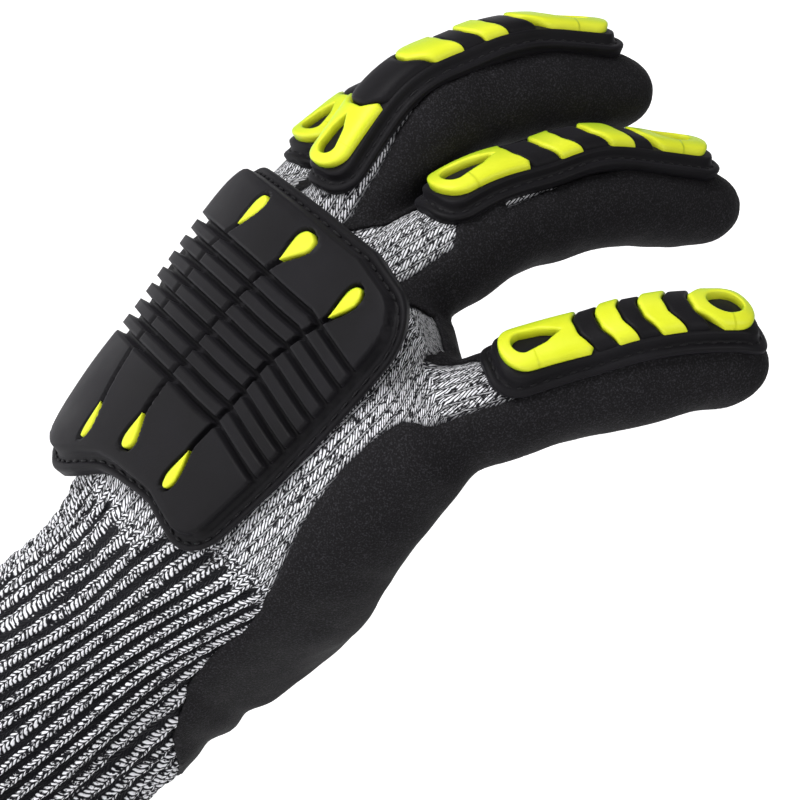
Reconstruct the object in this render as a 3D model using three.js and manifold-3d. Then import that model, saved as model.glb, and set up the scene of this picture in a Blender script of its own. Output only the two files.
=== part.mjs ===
// Impact resistant work glove for the right hand, in the shape it takes on a half-closed hand.
// Millimetres. Z runs from the cuff opening to the fingers, -Y is the back of the hand, X the little finger side.
import * as THREE from 'three';
import Module from 'manifold-3d';
import { mergeVertices } from 'three/addons/utils/BufferGeometryUtils.js';
import { TessellateModifier } from 'three/addons/modifiers/TessellateModifier.js';

const wasm = await Module();
wasm.setup();

// Hand and cuff sections, one row per station along the hand
const HAND_ROWS = [
  { s: 0, centre: 0, half: 36.2, back: 23.3, palm: 38.7 },
  { s: 11, centre: 0, half: 35.5, back: 22.7, palm: 37.8 },
  { s: 33, centre: 0, half: 33.7, back: 21.2, palm: 35.3 },
  { s: 56, centre: 0, half: 31.8, back: 19.6, palm: 32.8 },
  { s: 74, centre: 0, half: 30.9, back: 18.2, palm: 33.4 },
  { s: 90, centre: 0, half: 35.3, back: 18.7, palm: 38.4 },
  { s: 108, centre: 0, half: 43.2, back: 19.8, palm: 35.4 },
  { s: 128, centre: 0, half: 48.6, back: 20.4, palm: 24.4 },
  { s: 146, centre: 0, half: 51.2, back: 19.2, palm: 20.2 },
  { s: 160, centre: 0, half: 51.8, back: 17.8, palm: 17.2 },
  { s: 171, centre: -1.5, half: 48.0, back: 13.6, palm: 13.0 },
  { s: 178, centre: -3, half: 40.0, back: 6.5, palm: 6.5 },
];
// The stiff back guard keeps its own width where the wrist narrows under it
const GUARD_ROWS = [
  { s: 82, centre: -3.6, half: 38.6, back: 20.6 },
  { s: 108, centre: -2.0, half: 45.4, back: 20.8 },
  { s: 128, centre: 0, half: 48.6, back: 20.4 },
  { s: 146, centre: 0, half: 51.2, back: 19.4 },
  { s: 160, centre: 0, half: 51.8, back: 18.8 },
  { s: 176, centre: 0, half: 50.0, back: 17.4 },
];
const SECTION_POWER = 2.3;
const KNUCKLE_LEAN_LITTLE = 14;
const KNUCKLE_LEAN_FIRST = 4;
const KNUCKLE_LEAN_START = 140;
const WRIST_BEND = 11.4;
const WRIST_BEND_START = 66.6;
const WRIST_BEND_LENGTH = 27;

// Fingers: knuckle place, bends in degrees, lengths to each joint and to the tip, half widths and depths,
// the twist to the guard side, the guard's distance from the tip and the start of the coating sleeve
const FINGERS = {
  little: {
    x: 34.6, y: 0.8, s: 155.7, bends: [37, 5, 11], spread: 15, joints: [0, 32, 52], length: 73,
    half: [11.0, 10.6, 9.8], deep: [10.6, 9.3, 7.6], twist: -8, guardEnd: 1.8, sleeve: 1,
  },
  ring: {
    x: 7.3, y: -5.7, s: 161.8, bends: [33, 17, 17], spread: -10.5, joints: [0, 35, 60.5], length: 103,
    half: [11.8, 11.3, 10.6], deep: [11.4, 9.9, 7.9], twist: -4, guardEnd: 8.8, sleeve: 1,
  },
  middle: {
    x: -12.8, y: -4.1, s: 158.9, bends: [6.5, 41, 16], spread: -12.3, joints: [0, 42, 67], length: 103,
    half: [12.0, 11.5, 10.8], deep: [11.6, 10.2, 8.1], twist: -9, guardEnd: 10, sleeve: 1,
  },
  index: {
    x: -34.5, y: -1.5, s: 156, bends: [28, 38, 18], spread: -17, joints: [0, 38, 62], length: 96,
    half: [11.8, 11.3, 10.6], deep: [11.4, 9.9, 7.9], twist: -9, guardEnd: 8.5, sleeve: 1,
  },
  thumb: {
    x: -27.0, y: 12.0, s: 98, bends: [2, 12, 12], spread: -40, joints: [0, 32, 54], length: 70,
    half: [13.4, 12.6, 11.4], deep: [13.0, 11.4, 9.0], twist: 0, guardEnd: 0, sleeve: -12.8,
  },
};
const FINGER_ROOT = -11;
const LINE_START = -13;
const JOINT_SPREAD = 16;
const TIP_ROUND = 1.15;

// Knit liner and cuff ribs
const KNIT_WALL = 1.6;
const CUFF_WALL = 2.2;
const RIB_COUNT = 44;
const RIB_CREST = -0.4;
const RIB_VALLEY = -1.2;
const RIB_TWIST = -0.42;
const CUFF_TOP = 99;
const HEM_HEIGHT = 4.2;
const HEM_OUT = 0.5;
const HEM_IN = -2.7;
const HEM_SOFT = 0.8;
const GAP = 0.3;

// Palm coating: its little finger edge round the hand, one row per station
const COATING_WALL = 1.0;
const COATING_EDGE = [
  { s: 54, angle: -88 },
  { s: 57, angle: -60 },
  { s: 62, angle: -34 },
  { s: 67, angle: -14 },
  { s: 78, angle: 0 },
  { s: 90, angle: 9 },
  { s: 99, angle: 11 },
  { s: 110, angle: 22 },
  { s: 124, angle: 33 },
  { s: 134, angle: 38 },
  { s: 144, angle: 39 },
  { s: 156, angle: 30 },
  { s: 167, angle: 13 },
  { s: 182, angle: -4 },
];
const THUMB_SIDE_EDGE = 0.45;
const PALM_SWEEP_OUT = 7;
const ROOT_SWEEP_OUT = 17;
const PALM_SWEEP_IN = -6;
const PALM_SWEEP_SIDES = 16;
const BARE_KNIT_SIDES = 8;
const BARE_KNIT_ANGLE = 62;
const BARE_KNIT_SHARE = 0.6;

// Back guard, drawn flat: across in millimetres at a fixed rate per degree, along in hand stations
const GUARD_CENTRE_ANGLE = 98;
const GUARD_MM_PER_DEGREE = 0.9;
const GUARD_SEAT = 0.8;
const GUARD_FLANGE = 1.6;
const GUARD_TOP = 4.4;
const GUARD_LITTLE_EDGE = 42.3;
const GUARD_THUMB_EDGE = -44;
const GUARD_WRIST_EDGE = 100.5;
const GUARD_KNUCKLE_EDGE = 176;
const GUARD_CORNER = 12;
const PLATE_CORNER = 8;
const FLANGE_WIDTH = 5.6;
const WRIST_FLANGE_WIDTH = 3.2;
const GROOVE_LINES = [
  { across: 18, bend: 4.6 },
  { across: 2.3, bend: 2.8 },
  { across: -16.3, bend: 3.8 },
];
const GROOVE_BEND_START = 148;
const GROOVE_BEND_END = 163;
const GROOVE_WIDTH = 1.5;
const FIRST_CROSS_GROOVE = 128;
const CROSS_PITCH = 4.32;
const CROSS_GROOVES = 8;
const SKEW_FOLD_ANGLE = 78;
const SKEW_PER_DEGREE = 0.11;
const WRIST_FLARE = 0.0075;
const WRIST_LIFT = [-2.3, 3.5];
const WRIST_LIFT_ACROSS = [-18, 16];
const THUMB_CORNER_LIFT = 4.5;
const THUMB_CORNER_ACROSS = [18, 36];

// Drops of the back guard: width, and where the blunt end and the point lie, across and along
const DROP_GAP = 0.4;
const DROPS = [
  { width: 3.2, blunt: [20.6, 110.4], point: [18.6, 119.7] },
  { width: 3.2, blunt: [5.8, 109.7], point: [3.8, 118.2] },
  { width: 3.2, blunt: [-8, 106], point: [-10.4, 114.4] },
  { width: 3.8, blunt: [24.4, 170], point: [22.6, 161] },
  { width: 3.8, blunt: [6.4, 171], point: [5.1, 162.4] },
  { width: 3.8, blunt: [-11.6, 171], point: [-12.5, 162.4] },
];

// Finger guards: pad and insert lengths measured from the fingertip end of the pad
const FINGER_GUARDS = {
  little: { pad: 58.6, ring: 13.2, pitch: 8.9, wideBar: 0 },
  ring: { pad: 72, ring: 20.3, pitch: 10.8, wideBar: 2 },
  middle: { pad: 77, ring: 23.2, pitch: 11.6, wideBar: 2 },
  index: { pad: 73, ring: 21, pitch: 11, wideBar: 2 },
};
const PAD_WIDTH = 18;
const PAD_THICK = 1.4;
const PAD_CORNER = 7;
const PAD_SEAT_ON_KNIT = 0.8;
const PAD_SEAT_ON_COATING = 2.0;
const PAD_SEAT_RISE = [0.44, 0.6];
const CORE_INSET = 2.2;
const CORE_TOP = 3.0;
const PAD_SECTION = [
  { share: 1, inset: 0, height: 0 },
  { share: 1, inset: 0, height: PAD_THICK },
  { share: 1, inset: CORE_INSET, height: PAD_THICK },
  { share: 1, inset: CORE_INSET + 0.8, height: CORE_TOP },
  { share: 0.35, inset: CORE_INSET, height: CORE_TOP },
  { share: -0.35, inset: CORE_INSET, height: CORE_TOP },
  { share: -1, inset: CORE_INSET + 0.8, height: CORE_TOP },
  { share: -1, inset: CORE_INSET, height: PAD_THICK },
  { share: -1, inset: 0, height: PAD_THICK },
  { share: -1, inset: 0, height: 0 },
  { share: -0.5, inset: 0, height: 0 },
  { share: 0, inset: 0, height: 0 },
  { share: 0.5, inset: 0, height: 0 },
];
const BAR_TOP = 5.2;
const INSERT_WIDTH = 12.4;
const INSERT_INSET = 3.6;
const INSERT_SEAT = 0.9;
const INSERT_GAP = 0.5;
const INSERT_TOP = 5.9;
const INSERT_SHARE = 0.48;
const CHEVRON_SWEEP = 2.4;
const CHEVRON_FLAT = 0.36;
const RING_TAPER = 4.6;
const SUNK = 0.9;

// Colours and finishes
const KNIT = { color: '#8f8f96', roughness: 0.95, metalness: 0 };
const NITRILE = { color: '#1e1d1f', roughness: 0.85, metalness: 0 };
const RUBBER = { color: '#2a292b', roughness: 0.6, metalness: 0 };
const YELLOW = { color: '#d9de2f', roughness: 0.55, metalness: 0 };
const GREEN = { color: '#00a57c', roughness: 0.85, metalness: 0 };

const X_AXIS = new THREE.Vector3(1, 0, 0);
const Y_AXIS = new THREE.Vector3(0, 1, 0);
const Z_AXIS = new THREE.Vector3(0, 0, 1);

// A table column at any station, on a smooth curve through its rows
function column(rows, key, s) {
  const last = rows.length - 2;
  let i = 0;
  while (i < last && s > rows[i + 1].s) {
    i += 1;
  }
  const before = rows[Math.max(i - 1, 0)];
  const after = rows[Math.min(i + 2, rows.length - 1)];
  const from = rows[i];
  const to = rows[i + 1];
  const span = to.s - from.s;
  const k = THREE.MathUtils.clamp((s - from.s) / span, 0, 1);
  const slopeIn = (to[key] - before[key]) / (to.s - before.s);
  const slopeOut = (after[key] - from[key]) / (after.s - from.s);
  const k2 = k * k;
  const k3 = k2 * k;
  return (2 * k3 - 3 * k2 + 1) * from[key] + (k3 - 2 * k2 + k) * span * slopeIn
    + (3 * k2 - 2 * k3) * to[key] + (k3 - k2) * span * slopeOut;
}

// The hand's middle line: straight in the cuff, bent back at the wrist
function spineAt(s) {
  const bend = THREE.MathUtils.degToRad(WRIST_BEND);
  const radius = WRIST_BEND_LENGTH / bend;
  const run = THREE.MathUtils.clamp(s - WRIST_BEND_START, 0, WRIST_BEND_LENGTH);
  const angle = run / radius;
  const past = s - WRIST_BEND_START - run;
  const y = -radius * (1 - Math.cos(angle)) - past * Math.sin(angle);
  const z = WRIST_BEND_START + radius * Math.sin(angle) + past * Math.cos(angle);
  return { place: new THREE.Vector3(0, y, z), turn: new THREE.Quaternion().setFromAxisAngle(X_AXIS, angle) };
}

function power(value, exponent) {
  return Math.sign(value) * Math.abs(value) ** exponent;
}

// A point on a hand section: angle 0 at the little finger side, 90 at the back of the hand
function sectionPoint(s, angle, half, back, palm, centre) {
  const a = THREE.MathUtils.degToRad(angle);
  const x = centre + half * power(Math.cos(a), 2 / SECTION_POWER);
  const height = Math.sin(a) > 0 ? back : palm;
  const y = -height * power(Math.sin(a), 2 / SECTION_POWER);
  const { place, turn } = spineAt(s);
  return new THREE.Vector3(x, y, 0).applyQuaternion(turn).add(place);
}

// The knuckle line leans back toward the little finger and, less, toward the first finger
function knuckleLean(s, angle) {
  const side = Math.cos(THREE.MathUtils.degToRad(angle));
  const reach = side > 0 ? KNUCKLE_LEAN_LITTLE * side : -KNUCKLE_LEAN_FIRST * side;
  return reach * THREE.MathUtils.smoothstep(s, KNUCKLE_LEAN_START, 178);
}

function handPoint(s, angle, out) {
  const half = column(HAND_ROWS, 'half', s) + out;
  const back = column(HAND_ROWS, 'back', s) + out;
  const palm = column(HAND_ROWS, 'palm', s) + out;
  return sectionPoint(s - knuckleLean(s, angle), angle, half, back, palm, column(HAND_ROWS, 'centre', s));
}

// The middle line of a finger, stepped from inside the palm to past the tip
function fingerLine(finger) {
  const root = spineAt(finger.s);
  const base = root.turn.clone();
  base.multiply(new THREE.Quaternion().setFromAxisAngle(Y_AXIS, THREE.MathUtils.degToRad(finger.spread)));
  const bendAt = (l) => finger.bends.reduce((sum, bend, i) => {
    const k = (l - finger.joints[i]) / JOINT_SPREAD + 0.5;
    return sum + bend * THREE.MathUtils.smoothstep(k, 0, 1);
  }, 0);
  const turnAt = (l) => {
    const curl = new THREE.Quaternion().setFromAxisAngle(X_AXIS, -THREE.MathUtils.degToRad(bendAt(l)));
    const share = THREE.MathUtils.smoothstep(l, 0, finger.length / 2);
    const twist = new THREE.Quaternion().setFromAxisAngle(Z_AXIS, THREE.MathUtils.degToRad(finger.twist * share));
    return base.clone().multiply(curl).multiply(twist);
  };
  const place = new THREE.Vector3(finger.x, finger.y, LINE_START).applyQuaternion(root.turn).add(root.place);
  const steps = [];
  for (let l = LINE_START; l <= finger.length + 4; l += 1) {
    steps.push({ l, place: place.clone(), turn: turnAt(l) });
    place.add(new THREE.Vector3(0, 0, 1).applyQuaternion(turnAt(l + 0.5)));
  }
  return steps;
}

function onLine(steps, l) {
  const at = THREE.MathUtils.clamp(l - LINE_START, 0, steps.length - 1.001);
  const i = Math.floor(at);
  const place = steps[i].place.clone().lerp(steps[i + 1].place, at - i);
  const turn = steps[i].turn.clone().slerp(steps[i + 1].turn, at - i);
  return { place, turn };
}

function girth(finger, sizes, l) {
  const [, middle, end] = finger.joints;
  const stops = [0, middle, end, finger.length];
  const values = [sizes[0], (sizes[0] + sizes[1]) / 2, sizes[1], sizes[2]];
  let i = 0;
  while (i < 2 && l > stops[i + 1]) {
    i += 1;
  }
  const k = THREE.MathUtils.clamp((l - stops[i]) / (stops[i + 1] - stops[i]), 0, 1);
  return THREE.MathUtils.lerp(values[i], values[i + 1], k);
}

// A point on a finger: angle 90 on its back, rounded off at the tip
function fingerPoint(finger, l, angle, out) {
  const end = finger.length + out;
  const round = finger.half[2] * TIP_ROUND + out;
  const past = THREE.MathUtils.clamp((l - end + round) / round, 0, 1);
  const shrink = Math.sqrt(1 - past * past);
  const half = (girth(finger, finger.half, l) + out) * shrink;
  const deep = (girth(finger, finger.deep, l) + out) * shrink;
  const a = THREE.MathUtils.degToRad(angle);
  const { place, turn } = onLine(finger.line, l);
  return new THREE.Vector3(half * Math.cos(a), -deep * Math.sin(a), 0).applyQuaternion(turn).add(place);
}

// A geometry as a closed solid with its faces outward
function solid(geometry) {
  const bare = geometry.clone();
  bare.deleteAttribute('normal');
  bare.deleteAttribute('uv');
  const merged = mergeVertices(bare, 0.001);
  const points = merged.attributes.position.array;
  const index = Array.from(merged.index.array);
  let volume = 0;
  const corner = (i) => new THREE.Vector3().fromArray(points, index[i] * 3);
  for (let i = 0; i < index.length; i += 3) {
    volume += corner(i).dot(corner(i + 1).cross(corner(i + 2)));
  }
  if (volume < 0) {
    index.reverse();
  }
  const mesh = { numProp: 3, vertProperties: Float32Array.from(points), triVerts: Uint32Array.from(index) };
  return new wasm.Manifold(new wasm.Mesh(mesh));
}

function movePoints(geometry, target) {
  const position = geometry.attributes.position;
  for (let i = 0; i < position.count; i += 1) {
    const point = target(position.getX(i), position.getY(i), position.getZ(i));
    position.setXYZ(i, point.x, point.y, point.z);
  }
  return geometry;
}

// A closed tube through one ring of points per station
function tube(stations, sides, pointAt) {
  const rows = stations.length - 1;
  const geometry = new THREE.CylinderGeometry(1, 1, 1, sides, rows);
  return solid(movePoints(geometry, (x, y, z) => {
    const station = stations[Math.round((0.5 - y) * rows)];
    if (Math.hypot(x, z) < 0.5) {
      return pointAt(station, 90).add(pointAt(station, -90)).multiplyScalar(0.5);
    }
    const step = Math.round((Math.atan2(x, z) * sides) / (Math.PI * 2));
    return pointAt(station, (step * 360) / sides);
  }));
}

// A flat outline given thickness, divided, and laid on a curved surface
function laidOn(outline, from, to, longestEdge, pointAt) {
  const plate = new THREE.ExtrudeGeometry(outline, { depth: to - from, bevelEnabled: false, curveSegments: 4 });
  plate.translate(0, 0, from);
  const divided = new TessellateModifier(longestEdge, 12).modify(plate);
  return solid(movePoints(divided, pointAt));
}

function piece(name, body, finish) {
  const mesh = body.getMesh();
  const geometry = new THREE.BufferGeometry();
  geometry.setAttribute('position', new THREE.BufferAttribute(mesh.vertProperties, 3));
  geometry.setIndex(new THREE.BufferAttribute(mesh.triVerts, 1));
  geometry.computeVertexNormals();
  const part = new THREE.Mesh(geometry, new THREE.MeshStandardMaterial(finish));
  part.name = name;
  return part;
}

for (const finger of Object.values(FINGERS)) {
  finger.line = fingerLine(finger);
}

// Solid hand forms at a chosen distance from the knit surface
const HAND_STATIONS = [82, 92, 108, 128, 146, 162, 172, 178];
const WRIST_STATIONS = [50, 66];
const CUFF_STATIONS = [HEM_HEIGHT + GAP, 30, 50, 66, 82, 92, CUFF_TOP];
const CAVITY_STATIONS = [HEM_HEIGHT - 2, 34, 66, 82, 92, 108, 128, 150, 166, 174];
const HAND_SIDES = 20;
const CAVITY_SIDES = 16;
const FINGER_SIDES = 10;
const FINGER_CAVITY_SIDES = 8;

function palmForm(stations, sides, out) {
  const last = stations.length - 1;
  const shifted = stations.map((s, i) => (i === last ? s + out : s));
  return tube(shifted, sides, (s, angle) => handPoint(s, angle, out));
}

function fingerStations(finger, start, out) {
  const [, middle, end] = finger.joints;
  const round = finger.half[2] * TIP_ROUND + out;
  const tip = finger.length + out;
  const joints = [start, middle - 7, middle + 6, end + 1];
  return [...joints, tip - round * 0.95, tip - round * 0.4, tip - round * 0.02];
}

function fingerForm(finger, start, sides, out) {
  const stations = fingerStations(finger, start, out);
  return tube(stations, sides, (l, angle) => fingerPoint(finger, l, angle, out));
}

function handForm(stations, out) {
  return Object.values(FINGERS).reduce(
    (form, finger) => form.add(fingerForm(finger, FINGER_ROOT - out, FINGER_SIDES, out)),
    palmForm(stations, HAND_SIDES, out),
  );
}

// Knit liner: ribbed cuff, hand and five hollow fingers in one
function ribbedCuff() {
  const sides = RIB_COUNT * 2;
  return tube(CUFF_STATIONS, sides, (s, angle) => {
    const rib = Math.round((angle * sides) / 360);
    const fade = THREE.MathUtils.smoothstep(s, 84, CUFF_TOP);
    const out = rib % 2 === 0 ? RIB_CREST : RIB_VALLEY;
    return handPoint(s, angle + RIB_TWIST * (s - HEM_HEIGHT), out - fade);
  });
}

function knitLiner() {
  const outside = handForm(HAND_STATIONS, 0).add(ribbedCuff());
  const cavity = Object.values(FINGERS).reduce(
    (form, finger) => form.add(fingerForm(finger, FINGER_ROOT + 2, FINGER_CAVITY_SIDES, -KNIT_WALL)),
    palmForm(CAVITY_STATIONS, CAVITY_SIDES, -CUFF_WALL),
  );
  return outside.subtract(cavity);
}

// Overlocked hem round the cuff's end
function cuffHem() {
  const profile = [
    new THREE.Vector2(HEM_IN, HEM_SOFT),
    new THREE.Vector2(HEM_IN + HEM_SOFT, 0),
    new THREE.Vector2(HEM_OUT - HEM_SOFT, 0),
    new THREE.Vector2(HEM_OUT, HEM_SOFT),
    new THREE.Vector2(HEM_OUT, HEM_HEIGHT - HEM_SOFT),
    new THREE.Vector2(HEM_OUT - HEM_SOFT, HEM_HEIGHT),
    new THREE.Vector2(HEM_IN, HEM_HEIGHT),
    new THREE.Vector2(HEM_IN, HEM_SOFT),
  ].map((point) => new THREE.Vector2(point.x + 10, point.y));
  const ring = new THREE.LatheGeometry(profile, 26);
  return solid(movePoints(ring, (x, y, z) => {
    const angle = THREE.MathUtils.radToDeg(Math.atan2(z, x));
    return handPoint(y, angle, Math.hypot(x, z) - 10);
  }));
}

// Nitrile coating: a skin over the palm side, the finger sides and the fingertips
function palmSide() {
  const stations = COATING_EDGE.map((row) => row.s);
  return tube(stations, PALM_SWEEP_SIDES, (s, angle) => {
    const little = column(COATING_EDGE, 'angle', s);
    const thumb = -180 - THUMB_SIDE_EDGE * little;
    const step = Math.round((((angle + 360) % 360) * PALM_SWEEP_SIDES) / 360);
    const share = THREE.MathUtils.clamp((step - 1) / (PALM_SWEEP_SIDES - 3), 0, 1);
    const spread = THREE.MathUtils.smoothstep(s, 144, 158);
    const reach = THREE.MathUtils.lerp(PALM_SWEEP_OUT, ROOT_SWEEP_OUT, spread);
    const out = step === 0 || step === PALM_SWEEP_SIDES - 1 ? PALM_SWEEP_IN : reach;
    return handPoint(s, THREE.MathUtils.lerp(little, thumb, share), out);
  });
}

function bareKnit(finger) {
  const stations = [FINGER_ROOT, 12, 34, finger.length * BARE_KNIT_SHARE];
  return tube(stations, BARE_KNIT_SIDES, (l, angle) => {
    const share = angle / 180;
    const turned = 90 + BARE_KNIT_ANGLE * (1 - 2 * Math.abs(share));
    const inward = share < 0 ? 0.65 : 0;
    return fingerPoint(finger, l, turned, 4).lerp(onLine(finger.line, l).place, inward);
  });
}

function palmCoating() {
  const stations = [...WRIST_STATIONS, ...HAND_STATIONS];
  const inner = handForm(stations, GAP);
  const outer = handForm(stations, GAP + COATING_WALL);
  let covered = palmSide();
  for (const finger of Object.values(FINGERS)) {
    let sleeve = fingerForm(finger, finger.sleeve, FINGER_SIDES, GAP + COATING_WALL + 0.4);
    if (finger.guardEnd > 0) {
      sleeve = sleeve.subtract(bareKnit(finger));
    }
    covered = covered.add(sleeve);
  }
  const skins = outer.subtract(inner).intersect(covered).decompose();
  return skins.reduce((main, skin) => (skin.volume() > main.volume() ? skin : main));
}

// Back guard: flange, smooth wrist plate, four columns of cross bars and a knuckle plate
function guardPoint(across, along, height) {
  const angle = GUARD_CENTRE_ANGLE - across / GUARD_MM_PER_DEGREE;
  const flare = along < FIRST_CROSS_GROOVE ? WRIST_FLARE * Math.max(angle - GUARD_CENTRE_ANGLE, 0) : 0;
  const level = along + (along - FIRST_CROSS_GROOVE) * flare;
  const s = level - SKEW_PER_DEGREE * Math.abs(angle - SKEW_FOLD_ANGLE);
  const out = GUARD_SEAT + height;
  const half = column(GUARD_ROWS, 'half', s) + out;
  const back = column(GUARD_ROWS, 'back', s) + out;
  return sectionPoint(s, angle, half, back, back, column(GUARD_ROWS, 'centre', s));
}

// A drop's outline, drawn along its run from the blunt end to the point
function dropShape(drop, grow) {
  const blunt = new THREE.Vector2(...drop.blunt);
  const run = new THREE.Vector2(...drop.point).sub(blunt);
  const tip = run.length() + grow * 2;
  const half = drop.width / 2 + grow;
  const shape = new THREE.Shape();
  shape.moveTo(tip, 0);
  shape.quadraticCurveTo(tip * 0.6, half * 1.1, half, half);
  shape.absarc(half - grow, 0, half, Math.PI / 2, Math.PI * 1.5, false);
  shape.quadraticCurveTo(tip * 0.6, -half * 1.1, tip, 0);
  const centre = new THREE.Vector2();
  const points = shape.getPoints(4).map((point) => point.rotateAround(centre, run.angle()).add(blunt));
  return new THREE.Shape(points);
}

// The wrist edge runs askew: drawn straight, then lifted toward the little finger side
function liftedAlong(across, along) {
  const share = THREE.MathUtils.smoothstep(across, ...WRIST_LIFT_ACROSS);
  const corner = THUMB_CORNER_LIFT * THREE.MathUtils.smoothstep(-across, ...THUMB_CORNER_ACROSS);
  const lift = THREE.MathUtils.lerp(...WRIST_LIFT, share) + corner;
  const fade = Math.max(FIRST_CROSS_GROOVE - along, 0) / (FIRST_CROSS_GROOVE - GUARD_WRIST_EDGE);
  return along + lift * fade;
}

// A plate on the back of the hand, its corners cut back to their rounding
function guardPlate(outline, cells, from, to) {
  const { left, right, low, high, corner } = outline;
  const plate = new THREE.BoxGeometry(1, 1, to - from, cells[0], cells[1], 1);
  const cutBack = corner * (1 - Math.SQRT1_2);
  const edgeLines = (share, count, start, end) => {
    const i = Math.round(share * count);
    if (i === 0 || i === count) {
      return i === 0 ? start : end;
    }
    return THREE.MathUtils.lerp(start + corner, end - corner, (i - 1) / (count - 2));
  };
  return solid(movePoints(plate, (x, y, z) => {
    const across = edgeLines(x + 0.5, cells[0], left, right);
    const along = edgeLines(y + 0.5, cells[1], low, high);
    const atCorner = Math.abs(x) > 0.499 && Math.abs(y) > 0.499;
    const back = atCorner ? cutBack : 0;
    const inset = across - Math.sign(x) * back;
    return guardPoint(inset, liftedAlong(inset, along - Math.sign(y) * back), (from + to) / 2 + z);
  }));
}

function grooveAt(line, along) {
  return line.across + line.bend * THREE.MathUtils.smoothstep(along, GROOVE_BEND_START, GROOVE_BEND_END);
}

function crossBar(leftLine, rightLine, low) {
  const depth = CROSS_PITCH - GROOVE_WIDTH;
  const height = GUARD_TOP - GUARD_FLANGE + SUNK;
  const bar = new THREE.BoxGeometry(1, depth, height, 2, 1, 1);
  return solid(movePoints(bar, (x, y, z) => {
    const draft = z > 0 ? 0.84 : 1;
    const along = low + GROOVE_WIDTH / 2 + depth / 2 + y * draft;
    const left = grooveAt(leftLine, along) + GROOVE_WIDTH / 2;
    const right = grooveAt(rightLine, along) - GROOVE_WIDTH / 2;
    return guardPoint(THREE.MathUtils.lerp(left, right, x + 0.5), along, GUARD_TOP - height / 2 + z);
  }));
}

function backGuard() {
  const left = GUARD_THUMB_EDGE + FLANGE_WIDTH;
  const right = GUARD_LITTLE_EDGE - FLANGE_WIDTH;
  const lastGroove = FIRST_CROSS_GROOVE + CROSS_PITCH * (CROSS_GROOVES - 1);
  const flange = {
    left: GUARD_THUMB_EDGE,
    right: GUARD_LITTLE_EDGE,
    low: GUARD_WRIST_EDGE,
    high: GUARD_KNUCKLE_EDGE,
    corner: GUARD_CORNER,
  };
  const wristPlate = {
    left,
    right,
    low: GUARD_WRIST_EDGE + WRIST_FLANGE_WIDTH,
    high: FIRST_CROSS_GROOVE - GROOVE_WIDTH / 2,
    corner: PLATE_CORNER,
  };
  const knucklePlate = {
    left, right, low: lastGroove + GROOVE_WIDTH / 2, high: GUARD_KNUCKLE_EDGE - 2.5, corner: 2.5,
  };
  const low = GUARD_FLANGE - SUNK;
  let guard = guardPlate(flange, [10, 5], 0, GUARD_FLANGE);
  guard = guard.add(guardPlate(wristPlate, [9, 3], low, GUARD_TOP));
  guard = guard.add(guardPlate(knucklePlate, [9, 3], low, GUARD_TOP));
  const edges = [
    { across: right + GROOVE_WIDTH / 2, bend: 0 },
    ...GROOVE_LINES,
    { across: left - GROOVE_WIDTH / 2, bend: 0 },
  ];
  for (let row = 0; row < CROSS_GROOVES - 1; row += 1) {
    for (let i = 0; i < edges.length - 1; i += 1) {
      guard = guard.add(crossBar(edges[i + 1], edges[i], FIRST_CROSS_GROOVE + CROSS_PITCH * row));
    }
  }
  for (const drop of DROPS) {
    guard = guard.subtract(laidOn(dropShape(drop, DROP_GAP), GUARD_FLANGE, GUARD_TOP + 2, 12, guardPoint));
  }
  return guard;
}

function guardDrop(drop) {
  return laidOn(dropShape(drop, 0), GUARD_FLANGE + GAP, GUARD_TOP + 0.2, 12, guardPoint);
}

// Finger guards: a stitched pad, a raised core with chevron bars, and four inserts
function padPoint(finger) {
  const end = finger.length - finger.guardEnd;
  const round = finger.half[2] * TIP_ROUND;
  return (across, along, height) => {
    const l = end - along;
    const onCoating = THREE.MathUtils.smoothstep(l / finger.length, ...PAD_SEAT_RISE);
    const seat = THREE.MathUtils.lerp(PAD_SEAT_ON_KNIT, PAD_SEAT_ON_COATING, onCoating);
    const past = Math.max(l - finger.length + round, 0);
    const half = girth(finger, finger.half, l) + seat + height;
    const deep = girth(finger, finger.deep, l) + seat + height;
    const a = Math.PI / 2 - across / (girth(finger, finger.half, l) + seat + 1.5);
    const { place, turn } = onLine(finger.line, l);
    const local = new THREE.Vector3(half * Math.cos(a), (past * past) / (2 * round) - deep * Math.sin(a), 0);
    return local.applyQuaternion(turn).add(place);
  };
}

function chevron(apex, thick, half) {
  const shape = new THREE.Shape();
  const flat = half * CHEVRON_FLAT;
  shape.moveTo(-half, apex - CHEVRON_SWEEP);
  shape.lineTo(-flat, apex);
  shape.lineTo(flat, apex);
  shape.lineTo(half, apex - CHEVRON_SWEEP);
  shape.lineTo(half, apex - CHEVRON_SWEEP - thick);
  shape.lineTo(flat, apex - thick);
  shape.lineTo(-flat, apex - thick);
  shape.lineTo(-half, apex - CHEVRON_SWEEP - thick);
  return shape;
}

function ringInsert(start, length) {
  const half = INSERT_WIDTH / 2;
  const end = start + length;
  const shape = new THREE.Shape();
  shape.moveTo(-half, start + half);
  shape.absarc(0, start + half, half, Math.PI, Math.PI * 2, false);
  shape.lineTo(half, end - RING_TAPER);
  shape.lineTo(half * CHEVRON_FLAT, end);
  shape.lineTo(-half * CHEVRON_FLAT, end);
  shape.lineTo(-half, end - RING_TAPER);
  const hole = new THREE.Path();
  hole.absellipse(0, start + length * 0.47, half * 0.4, length * 0.29, 0, Math.PI * 2, false);
  shape.holes.push(hole);
  return shape;
}

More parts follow.
